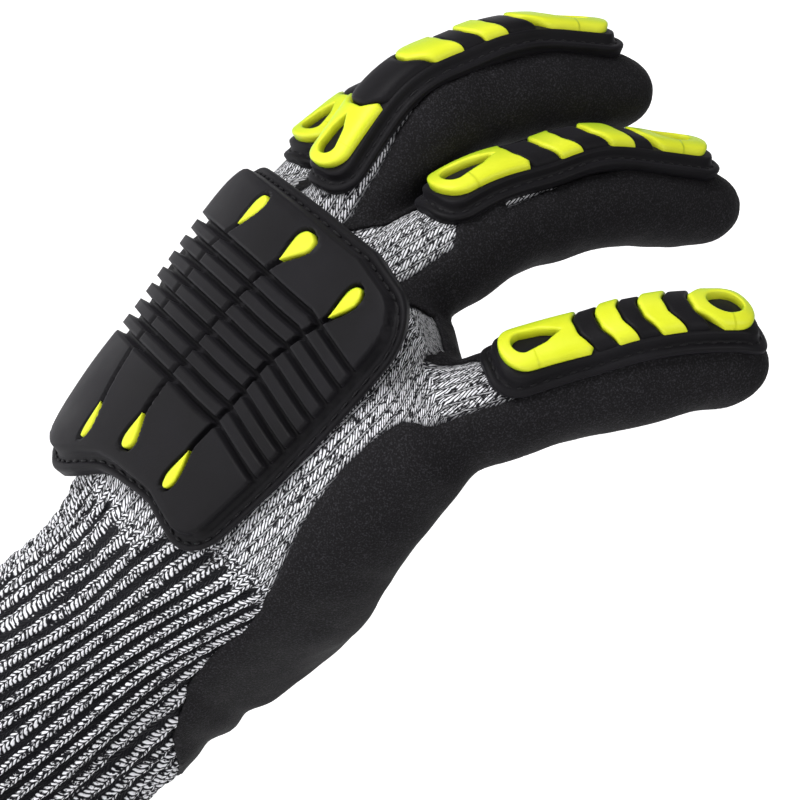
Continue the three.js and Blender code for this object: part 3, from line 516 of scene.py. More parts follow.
def knit_material(name):
    material, tree, shader = new_material(name, {
        "Roughness": 0.92, "IOR": 1.5, "Specular IOR Level": 0.1,
        "Sheen Weight": 0.05, "Sheen Roughness": 0.6})
    weave = add(tree, "ShaderNodeUVMap", {}, uv_map="weave").outputs["UV"]
    place = add(tree, "ShaderNodeTexCoord", {}).outputs["Object"]
    sway = add(tree, "ShaderNodeTexNoise", {"Vector": place, "Scale": 1 / (LOOP_SWAY * MM),
                                            "Detail": 1}).outputs["Color"]
    shift = add(tree, "ShaderNodeVectorMath", {0: sway, 1: (0.5, 0.5, 0.5)}, operation="SUBTRACT").outputs[0]
    bent = add(tree, "ShaderNodeVectorMath", {0: shift, 1: (0.42, 0.8, 0), 2: weave},
               operation="MULTIPLY_ADD").outputs[0]
    split = add(tree, "ShaderNodeSeparateXYZ", {"Vector": bent}).outputs
    across = add(tree, "ShaderNodeMath", {0: split["X"]}, operation="FRACT").outputs[0]
    centred = add(tree, "ShaderNodeMath", {0: across, 1: 0.5}, operation="SUBTRACT").outputs[0]
    lean = add(tree, "ShaderNodeAttribute", {}, attribute_name="lean").outputs["Fac"]
    fold = add(tree, "ShaderNodeMath", {0: lean, 1: LEAN_FOLD, 2: 0.5}, operation="MULTIPLY_ADD").outputs[0]
    spare = add(tree, "ShaderNodeMath", {0: 1, 1: fold}, operation="SUBTRACT").outputs[0]
    left = add(tree, "ShaderNodeMath", {0: 1, 1: across}, operation="SUBTRACT").outputs[0]
    rising = add(tree, "ShaderNodeMath", {0: across, 1: fold}, operation="DIVIDE").outputs[0]
    falling = add(tree, "ShaderNodeMath", {0: left, 1: spare}, operation="DIVIDE").outputs[0]
    nearer = add(tree, "ShaderNodeMath", {0: rising, 1: falling}, operation="MINIMUM").outputs[0]
    arm = add(tree, "ShaderNodeMath", {0: nearer, 1: -0.5, 2: 0.5}, operation="MULTIPLY_ADD").outputs[0]
    slant = add(tree, "ShaderNodeMath", {0: lean, 1: LEAN_SLANT, 2: LOOP_SLANT * 2},
                operation="MULTIPLY_ADD").outputs[0]
    rise = add(tree, "ShaderNodeMath", {0: arm, 1: slant, 2: split["Y"]}, operation="MULTIPLY_ADD").outputs[0]
    along = add(tree, "ShaderNodeMath", {0: rise}, operation="FRACT").outputs[0]
    crest = add(tree, "ShaderNodeMath", {0: along, 1: math.pi}, operation="MULTIPLY").outputs[0]
    yarn = add(tree, "ShaderNodeMath", {0: crest}, operation="SINE").outputs[0]
    side = add(tree, "ShaderNodeMath", {0: arm, 1: 2 * math.pi}, operation="MULTIPLY").outputs[0]
    round_arm = add(tree, "ShaderNodeMath", {0: side}, operation="SINE").outputs[0]
    full_arm = add(tree, "ShaderNodeMath", {0: round_arm, 1: 0.45}, operation="POWER").outputs[0]
    loop = add(tree, "ShaderNodeMath", {0: yarn, 1: full_arm}, operation="MULTIPLY").outputs[0]
    # Painted shade: the loops are light on their crests and painted black in the gaps between them
    painted_loop_shading = add(tree, "ShaderNodeMapRange", {"Value": loop, "From Min": 0.3, "From Max": 0.7},
              interpolation_type="SMOOTHSTEP").outputs[0]
    arm_side = add(tree, "ShaderNodeMath", {0: split["X"], 1: 2}, operation="MULTIPLY").outputs[0]
    arm_cell = add(tree, "ShaderNodeMath", {0: arm_side}, operation="FLOOR").outputs[0]
    row_cell = add(tree, "ShaderNodeMath", {0: rise}, operation="FLOOR").outputs[0]
    ply_x = add(tree, "ShaderNodeMath", {0: arm_cell, 1: 3.7, 2: centred},
                operation="MULTIPLY_ADD").outputs[0]
    ply_y = add(tree, "ShaderNodeMath", {0: row_cell, 1: 2.3, 2: along}, operation="MULTIPLY_ADD").outputs[0]
    ply_place = add(tree, "ShaderNodeCombineXYZ", {"X": ply_x, "Y": ply_y}).outputs[0]
    ply = add(tree, "ShaderNodeTexNoise", {"Vector": ply_place, "Scale": 1.15, "Detail": 2,
                                           "Roughness": 0.6}).outputs["Fac"]
    fleck = add(tree, "ShaderNodeTexNoise", {"Vector": place, "Scale": 1 / (YARN_FLECK * MM),
                                             "Detail": 2}).outputs["Fac"]
    mixed_ply = add(tree, "ShaderNodeMath", {0: fleck, 1: 0.85, 2: ply}, operation="MULTIPLY_ADD").outputs[0]
    white_share = add(tree, "ShaderNodeMapRange", {"Value": mixed_ply, "From Min": 0.79, "From Max": 0.92},
                      interpolation_type="SMOOTHSTEP").outputs[0]
    # The cuff's rib valleys are painted black here: partly the black yarn, partly painted shade
    groove = add(tree, "ShaderNodeAttribute", {}, attribute_name="groove").outputs["Fac"]
    soak = add(tree, "ShaderNodeAttribute", {}, attribute_name="soak").outputs["Fac"]
    jagged = add(tree, "ShaderNodeMath", {0: fleck, 1: 0.9, 2: groove}, operation="MULTIPLY_ADD").outputs[0]
    combed = add(tree, "ShaderNodeMath", {0: loop, 1: -0.35, 2: jagged}, operation="MULTIPLY_ADD").outputs[0]
    # Painted shade in the gaps between loops and in the cuff's rib valleys, mixed with the yarn's real black
    # flecks
    channel = add(tree, "ShaderNodeMapRange", {"Value": combed, "From Min": 0.58, "From Max": 0.76},
                  interpolation_type="SMOOTHSTEP").outputs[0]
    # The painted shade and the coating's real soak together turn the knit to the black yarn's colour
    dark = add(tree, "ShaderNodeMath", {0: channel, 1: soak}, operation="MAXIMUM").outputs[0]
    bare = add(tree, "ShaderNodeMath", {0: 1, 1: dark}, operation="SUBTRACT").outputs[0]
    shown = add(tree, "ShaderNodeMath", {0: white_share, 1: bare}, operation="MULTIPLY").outputs[0]
    white = add(tree, "ShaderNodeMath", {0: shown, 1: painted_loop_shading}, operation="MULTIPLY").outputs[0]
    colour = add(tree, "ShaderNodeMix", {0: white, 6: BLACK_YARN_AND_SHADE, 7: YARN_WHITE}, data_type="RGBA").outputs[2]
    fuzz = add(tree, "ShaderNodeMath", {0: fleck, 1: 0.35, 2: loop}, operation="MULTIPLY_ADD").outputs[0]
    bump = add(tree, "ShaderNodeBump", {"Height": fuzz, "Distance": 0.5 * MM, "Strength": 0.75}).outputs[0]
    feed(tree, shader, {"Base Color": colour, "Normal": bump})
    return material


marl_knit = knit_material("marl_jersey_knit")


FINGER_WALES = 32


# Wale and course numbers of a mesh's corners, so that the loops follow the knitting
def knit_coordinates(mesh, places):
    loop_verts = np.empty(len(mesh.loops), dtype=int)
    mesh.loops.foreach_get("vertex_index", loop_verts)
    sizes = np.empty(len(mesh.polygons), dtype=int)
    mesh.polygons.foreach_get("loop_total", sizes)
    face_of = np.repeat(np.arange(len(sizes)), sizes)
    starts = np.concatenate([[0], np.cumsum(sizes)[:-1]])
    s, angle, _ = places["hand"]
    wales = (angle - RIB_TWIST * (CUFF_TOP - HEM_HEIGHT)) / 360 * WALES
    u = wales[loop_verts]
    v = (s / COURSE)[loop_verts]
    first = u[starts][face_of]
    u = u - np.round((u - first) / WALES) * WALES
    for name, finger in FINGERS.items():
        l, around, share = places[name]
        on_it = ((l > 3) & (share < 1.2)).astype(float)
        faces_on = np.add.reduceat(on_it[loop_verts], starts) / sizes
        chosen = (faces_on > 0.5)[face_of]
        turns = (around / 360 * FINGER_WALES)[loop_verts]
        turns = turns - np.round((turns - turns[starts][face_of]) / FINGER_WALES) * FINGER_WALES
        u = np.where(chosen, turns, u)
        v = np.where(chosen, (l / COURSE)[loop_verts], v)
    layer = mesh.uv_layers.new(name="weave")
    layer.data.foreach_set("uv", np.stack([u, v], axis=1).ravel())


def wall(piece, thickness):
    shell = piece.modifiers.new("wall", "SOLIDIFY")
    shell.thickness = thickness * MM
    shell.offset = -1


hand_bm = bmesh.new()
hand_bm.from_mesh(form_mesh)
keep_inside(hand_bm, hand_bm.verts.layers.float["station"])
knit_hand = new_object("knit_hand", hand_bm)
knit_coordinates(knit_hand.data, locate(points_of(knit_hand.data) / MM))
lean = knit_hand.data.attributes.new("lean", "FLOAT", "POINT")
lean.data.foreach_set("value", np.ones(len(knit_hand.data.vertices)))
knit_hand.data.materials.append(marl_knit)
wall(knit_hand, KNIT_WALL)
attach(knit_hand, "root")

# Ribbed cuff. Knitted on from the hand in a rib: light raised wales with sunk ones between, which draws the
# cuff in round the wrist. The sunk wales are painted black, partly as black yarn and partly as painted shade.
# The ribs run askew toward the little finger side.
CUFF_START = 2.4
RIB_CREST = 0.15
RIB_VALLEY = -1.0
CREST_SHARE = 0.6
RIB_COLUMNS = 10
CUFF_ROWS = 92
CUFF_WALL = 1.0


# Station and angle for shares round and up the cuff, how far its ribs have passed into jersey, and where
# between two ribs the point lies
def rib_layout(u, v):
    top = cuff_top(u * 360 + RIB_TWIST * (CUFF_TOP + CUFF_RISE / 2 - HEM_HEIGHT))
    s = CUFF_START + v * (top - CUFF_START)
    wale_pair = u * RIB_COUNT
    rib = np.floor(wale_pair)
    phase = wale_pair - rib
    rib_end = top - 2 + 1.6 * np.sin(rib * 2.4)
    jersey = smooth(s, rib_end - 6, rib_end)
    share = CREST_SHARE + (0.5 - CREST_SHARE) * jersey
    spread = np.where(phase < 0.5, phase * 2 * share, share + (phase - 0.5) * 2 * (1 - share))
    wander = 0.9 * np.sin(s / 15 + rib * 0.6) + 0.5 * np.sin(s / 6.1 + rib * 1.7)
    angle = (rib + spread) * 360 / RIB_COUNT + RIB_TWIST * (s - HEM_HEIGHT) + wander * (1 - jersey)
    angle = (angle + 180) % 360 - 180
    crest = np.sin(np.clip(phase * 2, 0, 1) * math.pi) ** 0.45
    return s, angle, jersey, crest, phase


def cuff_point(u, v):
    s, angle, jersey, crest, _ = rib_layout(u, v)
    base = hand_point(s, angle, 0 * s)
    lift = soft_relief(base, s, angle) + 0.25 * np.sin(s * 1.3 + u * 400) * (1 - jersey)
    ribs = RIB_VALLEY + (RIB_CREST - RIB_VALLEY) * crest
    tuck = -0.25 * smooth(v, 0.98, 1)
    return hand_point(s, angle, ribs * (1 - jersey) + tuck + lift)


cuff_bm = bmesh.new()
cuff_bm.loops.layers.uv.new("weave")
groove_layer = cuff_bm.verts.layers.float.new("groove")
laid_grid(cuff_bm, RIB_COUNT * RIB_COLUMNS, CUFF_ROWS, cuff_point)
bmesh.ops.recalc_face_normals(cuff_bm, faces=cuff_bm.faces)
cuff_uv = cuff_bm.loops.layers.uv["weave"]
for face in cuff_bm.faces:
    for corner in face.loops:
        u, v = corner[cuff_uv].uv
        s, _, jersey, _, phase = rib_layout(np.array(u), np.array(v))
        # How deep in a rib valley a point lies: the knit shader darkens it there, partly as black yarn and
        # partly as painted shade
        sunk = float(smooth(abs(phase - 0.75), 0.34, 0.14))
        corner.vert[groove_layer] = float(sunk * (1 - jersey))
        corner[cuff_uv].uv = (u * WALES, float(s) / COURSE)
knit_cuff = new_object("knit_cuff", cuff_bm)
knit_cuff.data.materials.append(marl_knit)
wall(knit_cuff, CUFF_WALL)
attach(knit_cuff, "root")
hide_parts("knit_liner")

# Overlocked hem. The cuff's end is sewn over with green thread on an overlock machine: close slanting
# threads over the edge that stop the ribs from running.
HEM_OUT = 0.5
HEM_IN = -2.7
HEM_THREADS = 124
HEM_COLUMNS = 9
HEM_ROWS = 18
HEM_FIBRE = 1.4286


def hem_point(u, v):
    turn = v * 2 * math.pi
    slant = 0.35 * np.cos(turn)
    thread = np.abs(np.sin((u * HEM_THREADS + slant) * math.pi)) ** 0.6
    loose = 0.12 * np.sin(u * 71) + 0.1 * np.sin(u * 173 + v * 5)
    wide = (HEM_OUT - HEM_IN) / 2 + 0.45 * thread + loose
    tall = HEM_HEIGHT / 2 - 0.25 + 0.35 * thread
    out = (HEM_OUT + HEM_IN) / 2 + wide * power(np.cos(turn), 0.75)
    s = HEM_HEIGHT / 2 + tall * power(np.sin(turn), 0.75)
    return hand_point(s, u * 360 - 180, out)


# Spun polyester overlock thread: soft green, in places 1.4 mm long paler, where its fibres catch the light
def overlock_material():
    material, tree, shader = new_material("green_overlock_thread", {
        "Roughness": 0.7, "IOR": 1.5, "Sheen Weight": 0.35})
    place = add(tree, "ShaderNodeTexCoord", {}).outputs["Object"]
    thread = add(tree, "ShaderNodeTexNoise", {"Vector": place, "Scale": 1 / (HEM_FIBRE * MM),
                                              "Detail": 3}).outputs["Fac"]
    shade = add(tree, "ShaderNodeMapRange", {"Value": thread, "From Min": 0.3, "From Max": 0.7}).outputs[0]
    colour = add(tree, "ShaderNodeMix", {0: shade, 6: linear("#018A63"), 7: linear("#12BE90")},
                 data_type="RGBA").outputs[2]
    bump = add(tree, "ShaderNodeBump", {"Height": thread, "Distance": 0.3 * MM, "Strength": 0.6}).outputs[0]
    feed(tree, shader, {"Base Color": colour, "Normal": bump})
    return material


hem_bm = bmesh.new()
laid_grid(hem_bm, HEM_THREADS * HEM_COLUMNS, HEM_ROWS, hem_point)
hem = outward_object("overlocked_hem", hem_bm)
hem.data.materials.append(overlock_material())
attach(hem, "root")
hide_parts("cuff_hem")

# Palm coating. Black nitrile foam with a sandy grip: the knitted glove is dipped palm down, so the skin
# covers the palm, the finger sides and tips and the whole thumb, and soaks a little into the knit edge.
COATING_WALL = 0.75
COATING_EDGE_LIFT = 0.3
COATING_LIFT = 0.95
COATING_BEVEL = 2.2
GRIT = 0.5263
PAINTED_GLINT_SIZE = 0.3846
DIP_PATCH = 14.29


# Nitrile foam dipped and salted: near black and dull, with a fine grit, and small grey glints painted into
# its colour as painted highlights. The real grit is about 0.2 mm, and is drawn coarser here so that it shows.
# The dip varies over some 14 mm.
def nitrile_material():
    material, tree, shader = new_material("sandy_nitrile_foam", {
        "Roughness": 0.72, "IOR": 1.5, "Specular IOR Level": 0.13})
    place = add(tree, "ShaderNodeTexCoord", {}).outputs["Object"]
    grit = add(tree, "ShaderNodeTexNoise", {"Vector": place, "Scale": 1 / (GRIT * MM), "Detail": 3,
                                            "Roughness": 0.65}).outputs["Fac"]
    patch = add(tree, "ShaderNodeTexNoise", {"Vector": place, "Scale": 1 / (DIP_PATCH * MM),
                                             "Detail": 3}).outputs["Fac"]
    glint = add(tree, "ShaderNodeTexNoise", {"Vector": place, "Scale": 1 / (PAINTED_GLINT_SIZE * MM),
                                             "Detail": 2}).outputs["Fac"]
    painted_glint = add(tree, "ShaderNodeMapRange", {"Value": glint, "From Min": 0.5, "From Max": 0.8}).outputs[0]
    shade = add(tree, "ShaderNodeMapRange", {"Value": patch, "From Min": 0.3, "From Max": 0.7}).outputs[0]
    body = add(tree, "ShaderNodeMix", {0: shade, 6: linear("#0F0E10"), 7: linear("#151416")},
               data_type="RGBA").outputs[2]
    # Painted highlight: small grey glints where the grit would catch the light
    colour = add(tree, "ShaderNodeMix", {0: painted_glint, 6: body, 7: linear("#353438")},
                 data_type="RGBA").outputs[2]
    rough = add(tree, "ShaderNodeMapRange", {"Value": patch, "From Min": 0.3, "From Max": 0.7,
                                             "To Min": 0.66, "To Max": 0.84}).outputs[0]
    bump = add(tree, "ShaderNodeBump", {"Height": grit, "Distance": 0.35 * MM, "Strength": 0.8}).outputs[0]
    feed(tree, shader, {"Base Color": colour, "Roughness": rough, "Normal": bump})
    return material


coat_bm = bmesh.new()
coat_bm.from_mesh(form_mesh)
coat_layer = coat_bm.verts.layers.float["cover"]
keep_inside(coat_bm, coat_layer)
coat_bm.normal_update()
for vert in coat_bm.verts:
    deep = float(smooth(vert[coat_layer], 0, COATING_BEVEL))
    vert.co += vert.normal * (COATING_EDGE_LIFT + (COATING_LIFT - COATING_EDGE_LIFT) * deep) * MM
coating = new_object("nitrile_coating", coat_bm)
coating.data.materials.append(nitrile_material())
wall(coating, COATING_WALL)
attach(coating, "root")
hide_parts("palm_coating")

# Back guard. One moulding of black thermoplastic rubber, stitched down through its flange. Four columns
# of cross bars bend with the glove between a smooth wrist plate and the knuckle plate.
GUARD_ROWS = [
    (82, -3.6, 38.6, 20.6),
    (108, -2.0, 45.4, 20.8),
    (128, 0, 48.6, 20.4),
    (146, 0, 51.2, 19.4),
    (160, 0, 51.8, 18.8),
    (176, 0, 50.0, 17.4),
]
GUARD_CENTRE_ANGLE = 98
GUARD_MM_PER_DEGREE = 0.9
GUARD_SEAT = 0.8
GUARD_LOW = -1.5
GUARD_FLANGE = 1.6
GUARD_TOP = 4.4
GUARD_OUTLINE = {"left": -44, "right": 42.3, "low": 100.5, "high": 176, "corner": 12}
PLATE_OUTLINE = {"left": -38.4, "right": 36.7, "low": 103.7, "high": 173.5, "corner": 8}
GROOVE_PATHS = [
    [(119.7, 18.6), (121, 18.2), (145, 17.7), (154.4, 20), (159.4, 22), (161.2, 22.6)],
    [(118.2, 3.8), (121, 3.1), (129, 2.0), (138, 1.9), (150, 2.5), (156.5, 3.2), (162.4, 5.1)],
    [(114.4, -10.4), (121, -13.6), (128, -16.4), (155, -16.4), (160, -13.9), (162.4, -12.5)],
]
FIRST_CROSS_GROOVE = 128
CROSS_PITCH = 4.32
CROSS_GROOVES = 8
SKEW_FOLD_ANGLE = 78
SKEW_PER_DEGREE = 0.11
WRIST_FLARE = 0.0075
GROOVE_DEPTH = 2.5
WRIST_LIFT = (-2.3, 3.5)
THUMB_CORNER_LIFT = 4.5
DROPS = [
    {"half": 1.6, "blunt": (20.6, 110.4), "point": (18.6, 119.7)},
    {"half": 1.4, "blunt": (5.8, 109.7), "point": (3.8, 118.2)},
    {"half": 1.2, "blunt": (-8, 106), "point": (-10.4, 114.4)},
    {"half": 1.9, "blunt": (24.4, 170), "point": (22.6, 161)},
    {"half": 1.9, "blunt": (6.4, 171), "point": (5.1, 162.4)},
    {"half": 1.9, "blunt": (-11.6, 171), "point": (-12.5, 162.4)},
]
DROP_WIDEST = 0.3
DROP_SEAT_LEVEL = GUARD_FLANGE + 0.7
STITCH_INSET = 2.0
STITCH_CHANNEL = 0.4
CROSS_GROOVE_HALF = (0.45, 0.95)
LONG_GROOVE_HALF = (0.4, 0.85)
LONG_GROOVE_SHARE = 0.9


# The wrist edge runs askew: drawn straight, then lifted toward the little finger side
def lifted(across, along):
    corner = THUMB_CORNER_LIFT * smooth(-across, 18, 36)
    lift = WRIST_LIFT[0] + (WRIST_LIFT[1] - WRIST_LIFT[0]) * smooth(across, -18, 16) + corner
    fade = np.maximum(FIRST_CROSS_GROOVE - along, 0) / (FIRST_CROSS_GROOVE - GUARD_OUTLINE["low"])
    return along + lift * fade


def guard_point(across, along, height):
    angle = GUARD_CENTRE_ANGLE - across / GUARD_MM_PER_DEGREE
    flare = np.where(along < FIRST_CROSS_GROOVE, WRIST_FLARE * np.maximum(angle - GUARD_CENTRE_ANGLE, 0), 0)
    level = along + (along - FIRST_CROSS_GROOVE) * flare
    s = level - SKEW_PER_DEGREE * np.abs(angle - SKEW_FOLD_ANGLE)
    out = GUARD_SEAT + height
    half = column(GUARD_ROWS, HALF, s) + out
    back = column(GUARD_ROWS, BACK, s) + out
    return section_point(s, angle, half, back, back, column(GUARD_ROWS, CENTRE, s))


# Offsets of points from a rounded rectangle's middle, and how far they lie past where its corners begin
def from_middle(outline, x, y):
    off_x = x - (outline["left"] + outline["right"]) / 2
    off_y = y - (outline["low"] + outline["high"]) / 2
    over_x = np.abs(off_x) - (outline["right"] - outline["left"]) / 2 + outline["corner"]
    over_y = np.abs(off_y) - (outline["high"] - outline["low"]) / 2 + outline["corner"]
    return off_x, off_y, over_x, over_y


# How far inside a rounded rectangle points lie
def inside_outline(outline, x, y):
    _, _, over_x, over_y = from_middle(outline, x, y)
    beyond = np.hypot(np.maximum(over_x, 0), np.maximum(over_y, 0))
    return outline["corner"] - beyond - np.minimum(np.maximum(over_x, over_y), 0)


# The warp that fits a square grid to the rounded corners
def fit_corners(outline, x, y):
    off_x, off_y, over_x, over_y = from_middle(outline, x, y)
    over_x = np.maximum(over_x, 0)
    over_y = np.maximum(over_y, 0)
    far = np.maximum(np.hypot(over_x, over_y), 1e-9)
    shrink = np.where((over_x > 0) & (over_y > 0), np.maximum(over_x, over_y) / far, 1)
    fitted_x = x - np.sign(off_x) * over_x * (1 - shrink)
    fitted_y = y - np.sign(off_y) * over_y * (1 - shrink)
    return fitted_x, fitted_y


# Grid lines at an even step, with extra ones where the surface turns
def marks(low, high, step, extra):
    close = np.array([value for value in extra if low < value < high] + [low, high])
    even = [value for value in np.arange(low, high, step) if np.min(np.abs(close - value)) > step * 0.4]
    return np.unique(np.round(np.concatenate([close, even]), 3))


# A closed moulding: a grid for its shaped top, walls, and an under side at one level
def moulding(bm, columns, rows, shape, surface, low, wrapped=False):
    made = bmesh.ops.create_grid(bm, x_segments=len(columns) - 1, y_segments=len(rows) - 1, size=0.5)
    under = made["verts"]
    faces = list(dict.fromkeys(face for vert in under for face in vert.link_faces))
    raised = bmesh.ops.extrude_face_region(bm, geom=faces, use_keep_orig=True)
    top = [item for item in raised["geom"] if isinstance(item, bmesh.types.BMVert)]
    for verts, is_top in ((under, False), (top, True)):
        shares = np.array([vert.co[:2] for vert in verts]) + 0.5
        first = np.interp(shares[:, 0] * (len(columns) - 1), np.arange(len(columns)), columns)
        second = np.interp(shares[:, 1] * (len(rows) - 1), np.arange(len(rows)), rows)
        across, along, height = shape(first, second)
        points = surface(across, along, height if is_top else height * 0 + low) * MM
        for vert, point in zip(verts, points):
            vert.co = point
    if wrapped:
        bmesh.ops.remove_doubles(bm, verts=under + top, dist=1e-6)


# How far a rounded edge has fallen, at a distance in from it
def rounded(distance, radius):
    k = np.clip(distance / radius, 0, 1)
    return radius * (1 - np.sqrt(1 - (1 - k) ** 2))


# A drop's half width: round up to its widest place, then drawn out to a point
def drop_half(share, half):
    blunt = np.sqrt(np.clip(1 - (1 - share / DROP_WIDEST) ** 2, 0, 1))
    pointed = 1 - np.clip((share - DROP_WIDEST) / (1 - DROP_WIDEST), 0, 1) ** 1.4
    return half * np.where(share < DROP_WIDEST, blunt, pointed)


# The way a drop runs, from its blunt end to its point
def drop_run(drop):
    run = np.array(drop["point"]) - np.array(drop["blunt"])
    length = np.hypot(*run)
    return run / length, length


# The back guard's top: flange with its stitch channel, raised plate, grooves and drop seats
def guard_relief(x, y):
    across, drawn = fit_corners(GUARD_OUTLINE, x, y)
    edge = inside_outline(GUARD_OUTLINE, across, drawn)
    plate = inside_outline(PLATE_OUTLINE, across, drawn)
    along = lifted(across, drawn)
    channel = STITCH_CHANNEL * np.exp(-((edge - STITCH_INSET) / 0.45) ** 2)
    height = GUARD_FLANGE - rounded(edge, 0.8) - channel
    height += (GUARD_TOP - GUARD_FLANGE) * smooth(plate, -0.35, 0.45) - 0.2 * (1 - smooth(plate, 0.4, 2.5))
    sunk = np.zeros_like(across)
    for k in range(CROSS_GROOVES):
        away = np.abs(along - FIRST_CROSS_GROOVE - k * CROSS_PITCH)
        sunk = np.maximum(sunk, 1 - smooth(away, *CROSS_GROOVE_HALF))
    for path in GROOVE_PATHS:
        stops, places = np.array(path).T
        between = smooth(along, stops[0] - 0.6, stops[0]) * (1 - smooth(along, stops[-1], stops[-1] + 0.6))
        away = np.abs(across - np.interp(along, stops, places))
        sunk = np.maximum(sunk, (1 - smooth(away, *LONG_GROOVE_HALF)) * between * LONG_GROOVE_SHARE)
    height -= GROOVE_DEPTH * sunk * smooth(plate, -0.3, 0.6)
    for drop in DROPS:
        run, length = drop_run(drop)
        from_blunt = (across - drop["blunt"][0]) * run[0] + (along - drop["blunt"][1]) * run[1]
        aside = np.abs((across - drop["blunt"][0]) * run[1] - (along - drop["blunt"][1]) * run[0])
        share = (from_blunt + 0.4) / (length + 0.8)
        away = aside - drop_half(np.clip(share, 0, 1), drop["half"]) - 0.35
        seat = (1 - smooth(away, -0.1, 0.45)) * smooth(share, -0.03, 0.02) * (1 - smooth(share, 0.98, 1.04))
        height = height * (1 - seat) + DROP_SEAT_LEVEL * seat
    return across, along, height


# Grid lines for the back guard, close together where its top turns
def guard_marks():
    turns = [-0.95, -0.7, -0.45, 0, 0.45, 0.7, 0.95]
    step = (-0.35, 0.05, 0.45, 1.2)
    rim = [0.12, 0.35, 0.8, STITCH_INSET - 0.8, STITCH_INSET - 0.4, STITCH_INSET, STITCH_INSET + 0.4,
           STITCH_INSET + 0.8]
    left, right = GUARD_OUTLINE["left"], GUARD_OUTLINE["right"]
    low, high = GUARD_OUTLINE["low"], GUARD_OUTLINE["high"]
    columns = [left + inset for inset in rim] + [right - inset for inset in rim]
    columns += [PLATE_OUTLINE["left"] + shift for shift in step]
    columns += [PLATE_OUTLINE["right"] - shift for shift in step]
    for path in GROOVE_PATHS:
        places = [place for _, place in path]
        columns += list(np.arange(min(places) - 1.1, max(places) + 1.1, 0.34))
    for drop in DROPS:
        sides = [drop["blunt"][0], drop["point"][0]]
        columns += list(np.arange(min(sides) - 2.4, max(sides) + 2.4, 0.4))
    rows = [low + inset for inset in rim] + [high - inset for inset in rim[:3]]
    rows += [PLATE_OUTLINE["low"] + shift for shift in step]
    rows += [PLATE_OUTLINE["high"] - shift for shift in step]
    rows += [FIRST_CROSS_GROOVE + k * CROSS_PITCH + turn for k in range(CROSS_GROOVES) for turn in turns]
    return marks(left, right, 1.5, columns), marks(low, high, 0.55, rows)


RUBBER_GRAIN = 0.4167
RUBBER_CLOUD = 11.11


# Moulded thermoplastic rubber: the tool's fine matt texture, and an edge colour painted where its sides turn
# away from the view, a painted sheen on the black and painted shade on the yellow. The spark-eroded grain is
# drawn at about 0.4 mm, coarser than the real one so that it shows.
def rubber_material(name, dark, light, edge, roughness, gloss):
    material, tree, shader = new_material(name, {
        "Roughness": roughness, "IOR": 1.5, "Specular IOR Level": gloss})
    place = add(tree, "ShaderNodeTexCoord", {}).outputs["Object"]
    fine = add(tree, "ShaderNodeTexNoise", {"Vector": place, "Scale": 1 / (RUBBER_GRAIN * MM),
                                            "Detail": 2}).outputs["Fac"]
    broad = add(tree, "ShaderNodeTexNoise", {"Vector": place, "Scale": 1 / (RUBBER_CLOUD * MM),
                                             "Detail": 4}).outputs["Fac"]
    shade = add(tree, "ShaderNodeMapRange", {"Value": broad, "From Min": 0.3, "From Max": 0.7}).outputs[0]
    body = add(tree, "ShaderNodeMix", {0: shade, 6: linear(dark), 7: linear(light)},
               data_type="RGBA").outputs[2]
    # Painted light: the colour turns toward the edge colour as the surface turns away from the view
    facing = add(tree, "ShaderNodeLayerWeight", {"Blend": 0.4}).outputs["Facing"]
    side = add(tree, "ShaderNodeMapRange", {"Value": facing, "From Min": 0.35, "From Max": 0.95}).outputs[0]
    colour = add(tree, "ShaderNodeMix", {0: side, 6: body, 7: linear(edge)}, data_type="RGBA").outputs[2]
    rough = add(tree, "ShaderNodeMapRange", {
        "Value": broad, "From Min": 0.3, "From Max": 0.7,
        "To Min": roughness - 0.06, "To Max": roughness + 0.08}).outputs[0]
    bump = add(tree, "ShaderNodeBump", {"Height": fine, "Distance": 0.1 * MM, "Strength": 0.35}).outputs[0]
    feed(tree, shader, {"Base Color": colour, "Roughness": rough, "Normal": bump})
    return material


# The black's lighter edge colour is a painted sheen
black_rubber = rubber_material("moulded_black_rubber", "#121113", "#19181B", "#2A292D", 0.52, 0.09)
# The yellow's greener, darker edge colour is painted shade
yellow_rubber = rubber_material("moulded_yellow_rubber", "#D2DA22", "#DCE236", "#9CC420", 0.45, 0.25)
guard_bm = bmesh.new()
guard_columns, guard_lines = guard_marks()
moulding(guard_bm, guard_columns, guard_lines, guard_relief, guard_point, GUARD_LOW)
back_plate = outward_object("back_guard_moulding", guard_bm)
back_plate.data.materials.append(black_rubber)
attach(back_plate, "root")
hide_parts("back_guard")

# Teardrop inserts of the back guard. Yellow thermoplastic rubber, moulded into sunk seats in the black
# guard at the ends of the long grooves and standing a little proud of it.
DROP_TOP = GUARD_TOP + 0.1
DROP_LOW = GUARD_FLANGE + 0.3
DROP_SIDES = np.linspace(-1, 1, 9)
DROP_STEPS = np.linspace(0, 1, 17) ** 1.3


def drop_shape(drop):
    run, length = drop_run(drop)

    def shape(side, share):
        aside = side * drop_half(share, drop["half"])
        height = DROP_TOP - 0.5 * side ** 4 - rounded(share * length, 0.5)
        across = drop["blunt"][0] + run[0] * share * length + run[1] * aside
        along = drop["blunt"][1] + run[1] * share * length - run[0] * aside
        return across, along, height

    return shape


for number, drop in enumerate(DROPS, start=1):
    drop_bm = bmesh.new()
    moulding(drop_bm, DROP_SIDES, DROP_STEPS, drop_shape(drop), guard_point, DROP_LOW, wrapped=True)
    teardrop = outward_object(f"teardrop_insert_{number}", drop_bm)
    teardrop.data.materials.append(yellow_rubber)
    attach(teardrop, "root")
    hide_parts(f"back_guard_drop_{number}")

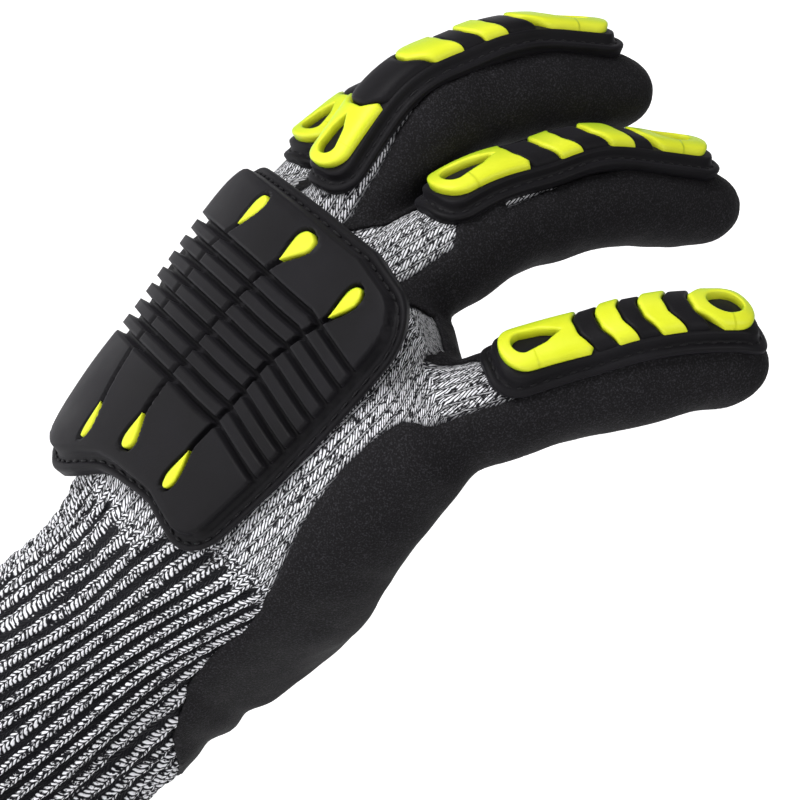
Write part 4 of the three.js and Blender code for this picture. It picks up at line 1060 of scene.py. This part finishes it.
# Finger guards. Black rubber pads stitched along each finger, with a raised core that carries chevron
# bars. The yellow inserts, a tip ring, two chevrons and a slotted base, are moulded between the bars.
FINGER_GUARDS = {
    "little": {"pad": 58.6, "ring": 13.2, "pitch": 8.9, "wide_bar": 0, "end": 1.8},
    "ring": {"pad": 72, "ring": 20.3, "pitch": 10.8, "wide_bar": 2, "end": 8.8},
    "middle": {"pad": 77, "ring": 23.2, "pitch": 11.6, "wide_bar": 2, "end": 10},
    "index": {"pad": 73, "ring": 21, "pitch": 11, "wide_bar": 2, "end": 8.5},
}
PAD_HALF = 9.6
PAD_THICK = 1.5
PAD_CORNER = 7
PAD_LOW = -1.3
PAD_SEAT = 0.8
PAD_SEAT_RISE = 1.2
CORE_TOP = 3.2
BAR_TOP = 4.8
INSERT_HALF = 6.0
INSERT_INSET = 3.6
INSERT_GAP = 0.35
INSERT_TOP = 5.2
INSERT_SHARE = 0.48
CHEVRON_SWEEP = 2.4
CHEVRON_FLAT = 0.36
RING_TAPER = 4.6
PAD_STITCH_INSET = 1.8
PAD_RIM = [0.1, 0.3, 0.7, 1.1, 1.5, 1.9, 2.3, 2.55, 2.85, 3.1]
HOLE_MIDDLE = 0.48
BASE_MIDDLE = 0.58
BASE_ROUND = 0.92
BAR_SIDES = np.sin(np.linspace(-math.pi / 2, math.pi / 2, 21))
BAR_STEPS = np.array([0, 0.03, 0.1, 0.2, 0.35, 0.5, 0.65, 0.8, 0.9, 0.97, 1])
RING_TURNS = np.linspace(0, 1, 73)


# The finger guard's bed: close on the bare knit, higher on the coated outer half, and bent down at the tip
def pad_surface(finger, guard):
    round_off = finger["half"][2] * TIP_ROUND

    def surface(across, along, height):
        l = finger["length"] - guard["end"] - along
        seat = PAD_SEAT + PAD_SEAT_RISE * smooth(l / finger["length"], 0.44, 0.6)
        past = np.maximum(l - finger["length"] + round_off, 0)
        half = girth(finger, "half", l) + seat + height
        deep = girth(finger, "deep", l) + seat + height
        a = math.pi / 2 - across / (girth(finger, "half", l) + seat + PAD_THICK)
        drop_off = past * past / (2 * round_off)
        return beside_line(finger, l, half * np.cos(a), drop_off - deep * np.sin(a))

    return surface


# A bar with a flat middle and swept back ends, rounded at its edges
def chevron_shape(apex, thick, half, top):
    def shape(side, share):
        bend = CHEVRON_SWEEP * np.clip((np.abs(side) - CHEVRON_FLAT) / (1 - CHEVRON_FLAT), 0, 1)
        edge = np.minimum(share, 1 - share) * thick
        height = top - rounded(edge, 0.55) - rounded((1 - np.abs(side)) * half, 0.8) - 1.5 * side ** 6
        return side * half, apex - bend - share * thick, height
    return shape


# Reach from a centre to a closed outline, in each direction
def reach(outline, centre, turns):
    start = np.array(outline) - centre
    side = np.roll(start, -1, axis=0) - start
    heading = np.stack([np.cos(turns), np.sin(turns)], axis=-1)
    cross = heading[:, None, 0] * side[None, :, 1] - heading[:, None, 1] * side[None, :, 0]
    safe = np.where(np.abs(cross) < 1e-9, 1e-9, cross)
    far = (start[None, :, 0] * side[None, :, 1] - start[None, :, 1] * side[None, :, 0]) / safe
    share = (start[None, :, 0] * heading[:, None, 1] - start[None, :, 1] * heading[:, None, 0]) / safe
    hit = (share >= -1e-6) & (share <= 1 + 1e-6) & (far > 0)
    return np.min(np.where(hit, far, 1e6), axis=1)


# An insert with a hole through it, laid out in turns round the hole
def ringed_shape(outline, centre, hole, top):
    def shape(turn, share):
        angle = turn * 2 * math.pi
        outer = reach(outline, centre, angle)
        inner = reach(hole, centre, angle)
        far = inner + (outer - inner) * share
        across = centre[0] + far * np.cos(angle)
        along = centre[1] + far * np.sin(angle)
        inside = rounded(share * (outer - inner), 0.5)
        height = top - rounded((1 - share) * (outer - inner), 0.7) - inside
        return across, along, height - 1.5 * (across / INSERT_HALF) ** 6
    return shape


def arc(x, y, radius, first, last):
    turns = np.radians(np.linspace(first, last, 31))
    return [(x + radius * math.cos(t), y + radius * math.sin(t)) for t in turns]


def ring_outline(start, length):
    half = INSERT_HALF
    flat = half * CHEVRON_FLAT
    end = start + length
    sides = [(half, end - RING_TAPER), (flat, end), (-flat, end), (-half, end - RING_TAPER)]
    return arc(0, start + half, half, 180, 360) + sides


def base_outline(start, length):
    half = INSERT_HALF
    flat = half * CHEVRON_FLAT
    end = start + length
    notch = [(-half, start - CHEVRON_SWEEP), (-flat, start), (flat, start), (half, start - CHEVRON_SWEEP)]
    return notch + arc(0, end - half * BASE_ROUND, half * BASE_ROUND, 0, 180)


def ring_hole(start, length):
    middle = start + length * HOLE_MIDDLE
    return [(x * INSERT_HALF * 0.5, middle + y * length * 0.3) for x, y in arc(0, 0, 1, 0, 348)]


# The base insert's slot: pointed toward the fingertip, round toward the hand
def base_hole(start, length):
    slot = INSERT_HALF * 0.4
    bottom = start + length - INSERT_HALF * 0.85
    shoulder = start + length * 0.4
    sides = [(-slot * 0.72, shoulder), (0, start + length * 0.16), (slot * 0.72, shoulder)]
    return arc(0, bottom, slot, 0, 180) + sides


# A pad's top: thin stitched rim, then a raised core
def pad_shape(outline):
    def shape(x, y):
        across, along = fit_corners(outline, x, y)
        edge = inside_outline(outline, across, along)
        height = PAD_THICK - rounded(edge, 0.7) - 0.3 * np.exp(-((edge - PAD_STITCH_INSET) / 0.4) ** 2)
        return across, along, height + (CORE_TOP - PAD_THICK) * smooth(edge, 2.3, 3.1)
    return shape


for name, guard in FINGER_GUARDS.items():
    finger = FINGERS[name]
    surface = pad_surface(finger, guard)
    outline = {"left": -PAD_HALF, "right": PAD_HALF, "low": 0, "high": guard["pad"], "corner": PAD_CORNER}
    guard["outline"] = outline
    guard["surface"] = surface
    ring_end = INSERT_INSET + guard["ring"]
    yellow = guard["pitch"] * INSERT_SHARE
    black = guard["pitch"] - yellow - INSERT_GAP * 2
    columns = [-PAD_HALF + inset for inset in PAD_RIM] + [PAD_HALF - inset for inset in PAD_RIM]
    rows = PAD_RIM + [guard["pad"] - inset for inset in PAD_RIM]
    pad_bm = bmesh.new()
    moulding(pad_bm, marks(-PAD_HALF, PAD_HALF, 1.2, columns), marks(0, guard["pad"], 1.2, rows),
             pad_shape(outline), surface, PAD_LOW)
    for k in range(3):
        thick = black + guard["wide_bar"] * (k == 2)
        apex = ring_end + INSERT_GAP + thick + guard["pitch"] * k
        shape = chevron_shape(apex, thick, INSERT_HALF, BAR_TOP)
        moulding(pad_bm, BAR_SIDES, BAR_STEPS, shape, surface, CORE_TOP - 1.4)
    pad = outward_object(f"{name}_guard_moulding", pad_bm)
    pad.data.materials.append(black_rubber)
    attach(pad, "root")
    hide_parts(f"{name}_guard")
    base_start = apex + INSERT_GAP
    base_length = guard["pad"] - INSERT_INSET - base_start
    ring_row = (INSERT_INSET, guard["ring"])
    base_row = (base_start, base_length)
    ring_centre = np.array([0, INSERT_INSET + guard["ring"] * HOLE_MIDDLE])
    base_centre = np.array([0, base_start + base_length * BASE_MIDDLE])
    inserts = {
        "tip_ring": ringed_shape(ring_outline(*ring_row), ring_centre, ring_hole(*ring_row), INSERT_TOP),
        "base_insert": ringed_shape(base_outline(*base_row), base_centre, base_hole(*base_row), INSERT_TOP),
        "chevron_1": chevron_shape(ring_end + guard["pitch"], yellow, INSERT_HALF, INSERT_TOP),
        "chevron_2": chevron_shape(ring_end + guard["pitch"] * 2, yellow, INSERT_HALF, INSERT_TOP),
    }
    for part, shape in inserts.items():
        insert_bm = bmesh.new()
        if part.startswith("chevron"):
            moulding(insert_bm, BAR_SIDES, BAR_STEPS, shape, surface, CORE_TOP - 1)
        else:
            moulding(insert_bm, RING_TURNS, BAR_STEPS, shape, surface, CORE_TOP - 1, wrapped=True)
        insert = outward_object(f"{name}_{part}_rubber", insert_bm)
        insert.data.materials.append(yellow_rubber)
        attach(insert, "root")
        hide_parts(f"{name}_{part}")

# Guard stitching. Black polyester thread, lockstitched through the channel in each guard's rim to hold it
# down on the knit; only the upper thread of each stitch shows, as a short loop with its ends pulled in.
GUARD_STITCH = 3.3
PAD_STITCH = 2.7
THREAD_HALF = 0.32
THREAD_TWIST = 0.6667


# A closed line that runs inside a rounded rectangle
def inset_line(outline, inset):
    corner = max(outline["corner"] - inset, 0.5)
    left, right = outline["left"] + inset + corner, outline["right"] - inset - corner
    low, high = outline["low"] + inset + corner, outline["high"] - inset - corner
    line = []
    for quarter, (x, y) in enumerate([(right, high), (left, high), (left, low), (right, low)]):
        line += arc(x, y, corner, quarter * 90, quarter * 90 + 90)
    return np.array(line + line[:1])


# One row of stitches along such a line on a surface: short loops of thread with gaps between them
def stitch_row(bm, line, surface, level, spacing):
    runs = np.concatenate([[0], np.cumsum(np.hypot(*np.diff(line, axis=0).T))])
    count = int(runs[-1] / spacing)
    for k in range(count):
        at = (k + 0.5) * runs[-1] / count
        ends = [np.array([np.interp(at + step, runs, line[:, i]) for i in (0, 1)]) for step in (-0.3, 0.3)]
        heading = (ends[1] - ends[0]) / max(np.hypot(*(ends[1] - ends[0])), 1e-6)
        middle = (ends[0] + ends[1]) / 2
        made = bmesh.ops.create_uvsphere(bm, u_segments=6, v_segments=4, radius=1)
        local = np.array([vert.co[:] for vert in made["verts"]])
        forward = local[:, 0] * spacing * 0.36
        aside = local[:, 1] * THREAD_HALF
        across = middle[0] + heading[0] * forward - heading[1] * aside
        along = middle[1] + heading[1] * forward + heading[0] * aside
        points = surface(across, along, level + local[:, 2] * 0.3 - 0.25 * local[:, 0] ** 2) * MM
        for vert, point in zip(made["verts"], points):
            vert.co = point


# Twisted polyester thread: black, with a slight gloss on its turns
def thread_material():
    material, tree, shader = new_material("black_sewing_thread", {
        "Roughness": 0.6, "IOR": 1.5, "Specular IOR Level": 0.15, "Sheen Weight": 0.05})
    place = add(tree, "ShaderNodeTexCoord", {}).outputs["Object"]
    twist = add(tree, "ShaderNodeTexNoise", {"Vector": place, "Scale": 1 / (THREAD_TWIST * MM),
                                             "Detail": 2}).outputs["Fac"]
    colour = add(tree, "ShaderNodeMix", {0: twist, 6: linear("#0A0A0B"), 7: linear("#1E1D20")},
                 data_type="RGBA").outputs[2]
    bump = add(tree, "ShaderNodeBump", {"Height": twist, "Distance": 0.2 * MM, "Strength": 0.5}).outputs[0]
    feed(tree, shader, {"Base Color": colour, "Normal": bump})
    return material


thread_bm = bmesh.new()
stitch_row(thread_bm, inset_line(GUARD_OUTLINE, STITCH_INSET),
           lambda x, y, z: guard_point(x, lifted(x, y), z), GUARD_FLANGE - 0.25, GUARD_STITCH)
for guard in FINGER_GUARDS.values():
    stitch_row(thread_bm, inset_line(guard["outline"], PAD_STITCH_INSET), guard["surface"],
               PAD_THICK - 0.2, PAD_STITCH)
stitches = outward_object("guard_stitches", thread_bm)
stitches.data.materials.append(thread_material())
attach(stitches, "root")

# Camera. It stands where the photograph was taken from, rolled as the glove leans in it, and the aim is
# turned off the glove's middle so that it lies in the frame as it does there.
TARGET = np.array([0, 0, 118.8])
AZIMUTH = math.radians(47.57)
ELEVATION = math.radians(5.54)
ROLL = math.radians(46.72)
DISTANCE = 630
FOCAL_PIXELS = 2870
FRAME_PIXELS = 800
SENSOR = 36
AIM_RIGHT = 133.47
AIM_UP = 77.43
back_way = np.array([math.sin(AZIMUTH) * math.cos(ELEVATION), -math.cos(AZIMUTH) * math.cos(ELEVATION),
                     math.sin(ELEVATION)])
level_right = np.array([math.cos(AZIMUTH), math.sin(AZIMUTH), 0])
level_up = np.cross(back_way, level_right)
right_way = math.cos(ROLL) * level_right + math.sin(ROLL) * level_up
up_way = math.cos(ROLL) * level_up - math.sin(ROLL) * level_right
aim = -back_way + (AIM_RIGHT * right_way + AIM_UP * up_way) / FOCAL_PIXELS
aim = aim / np.linalg.norm(aim)
side_way = np.cross(aim, up_way)
side_way = side_way / np.linalg.norm(side_way)
top_way = np.cross(side_way, aim)
camera_data = bpy.data.cameras.new("camera")
camera_data.sensor_width = SENSOR
turned_aim = math.hypot(1, AIM_RIGHT / FOCAL_PIXELS, AIM_UP / FOCAL_PIXELS)
camera_data.lens = SENSOR * FOCAL_PIXELS * turned_aim / FRAME_PIXELS
camera_data.clip_start = 0.05
camera_data.clip_end = 30
camera = bpy.data.objects.new("camera", camera_data)
facing = Matrix(np.stack([side_way, top_way, -aim], axis=1).tolist()).to_4x4()
camera.matrix_world = Matrix.Translation(Vector((TARGET + back_way * DISTANCE) * MM)) @ facing
bpy.context.scene.collection.objects.link(camera)
bpy.context.scene.camera = camera

# Studio. The glove hangs over a sheet of white acrylic, lit from below and curved up behind it, as on a light
# table, and soft boxes round it give the even light. It is held at its wrist opening.
FLOOR_DROP = 90
SHEET_FRONT = 1300
SHEET_BEHIND = 2600
SHEET_RADIUS = 900
SHEET_WALL = 2200
SHEET_WIDTH = 4200
MILK_CLOUD = 333.3
MILK_GLOW = 0.8
WORLD_GLOW = 0.25


def sheet_point(u, v):
    bend = SHEET_RADIUS * math.pi / 2
    run = v * (SHEET_FRONT + SHEET_BEHIND + bend + SHEET_WALL) - SHEET_FRONT
    turn = np.clip((run - SHEET_BEHIND) / SHEET_RADIUS, 0, math.pi / 2)
    depth = np.minimum(run, SHEET_BEHIND) + SHEET_RADIUS * np.sin(turn)
    height = SHEET_RADIUS * (1 - np.cos(turn)) + np.maximum(run - SHEET_BEHIND - bend, 0) - FLOOR_DROP
    away = -back_way * np.array([1, 1, 0])
    away = away / np.linalg.norm(away)
    flat = depth[:, None] * away + (u[:, None] - 0.5) * SHEET_WIDTH * level_right
    return flat + height[:, None] * np.array([0, 0, 1])


# Opal acrylic: milk white all through, glowing evenly from the lamps under it
def acrylic_material():
    material, tree, shader = new_material("lit_white_acrylic", {
        "Roughness": 0.6, "IOR": 1.49, "Emission Strength": MILK_GLOW})
    place = add(tree, "ShaderNodeTexCoord", {}).outputs["Object"]
    milk = add(tree, "ShaderNodeTexNoise", {"Vector": place, "Scale": 1 / (MILK_CLOUD * MM),
                                            "Detail": 2}).outputs["Fac"]
    colour = add(tree, "ShaderNodeMix", {0: milk, 6: linear("#F6F6F7"), 7: linear("#FBFBFB")},
                 data_type="RGBA").outputs[2]
    feed(tree, shader, {"Base Color": colour, "Emission Color": colour})
    return material


sheet_bm = bmesh.new()
laid_grid(sheet_bm, 8, 90, sheet_point, wrapped=False)
floor = new_object("floor", sheet_bm)
floor.data.materials.append(acrylic_material())

world = bpy.data.worlds.new("studio")
world.use_nodes = True
background = world.node_tree.nodes["Background"]
background.inputs["Color"].default_value = (1, 1, 1, 1)
background.inputs["Strength"].default_value = WORLD_GLOW
bpy.context.scene.world = world

SOFT_BOXES = [
    {"right": -260, "up": 620, "back": 420, "size": 420, "watts": 5.2},
    {"right": 520, "up": 60, "back": 480, "size": 380, "watts": 1.6},
    {"right": -520, "up": -200, "back": 420, "size": 380, "watts": 1.2},
]
for number, box in enumerate(SOFT_BOXES):
    light_data = bpy.data.lights.new(f"soft_box_{number}", "AREA")
    light_data.size = box["size"] * MM
    light_data.energy = box["watts"]
    light = bpy.data.objects.new(f"soft_box_{number}", light_data)
    place = TARGET + box["right"] * right_way + box["up"] * up_way + box["back"] * back_way
    light.location = Vector(place * MM)
    light.rotation_mode = "QUATERNION"
    light.rotation_quaternion = Vector((place - TARGET).tolist()).to_track_quat("Z", "Y")
    bpy.context.scene.collection.objects.link(light)
bpy.context.scene.view_settings.view_transform = "Standard"
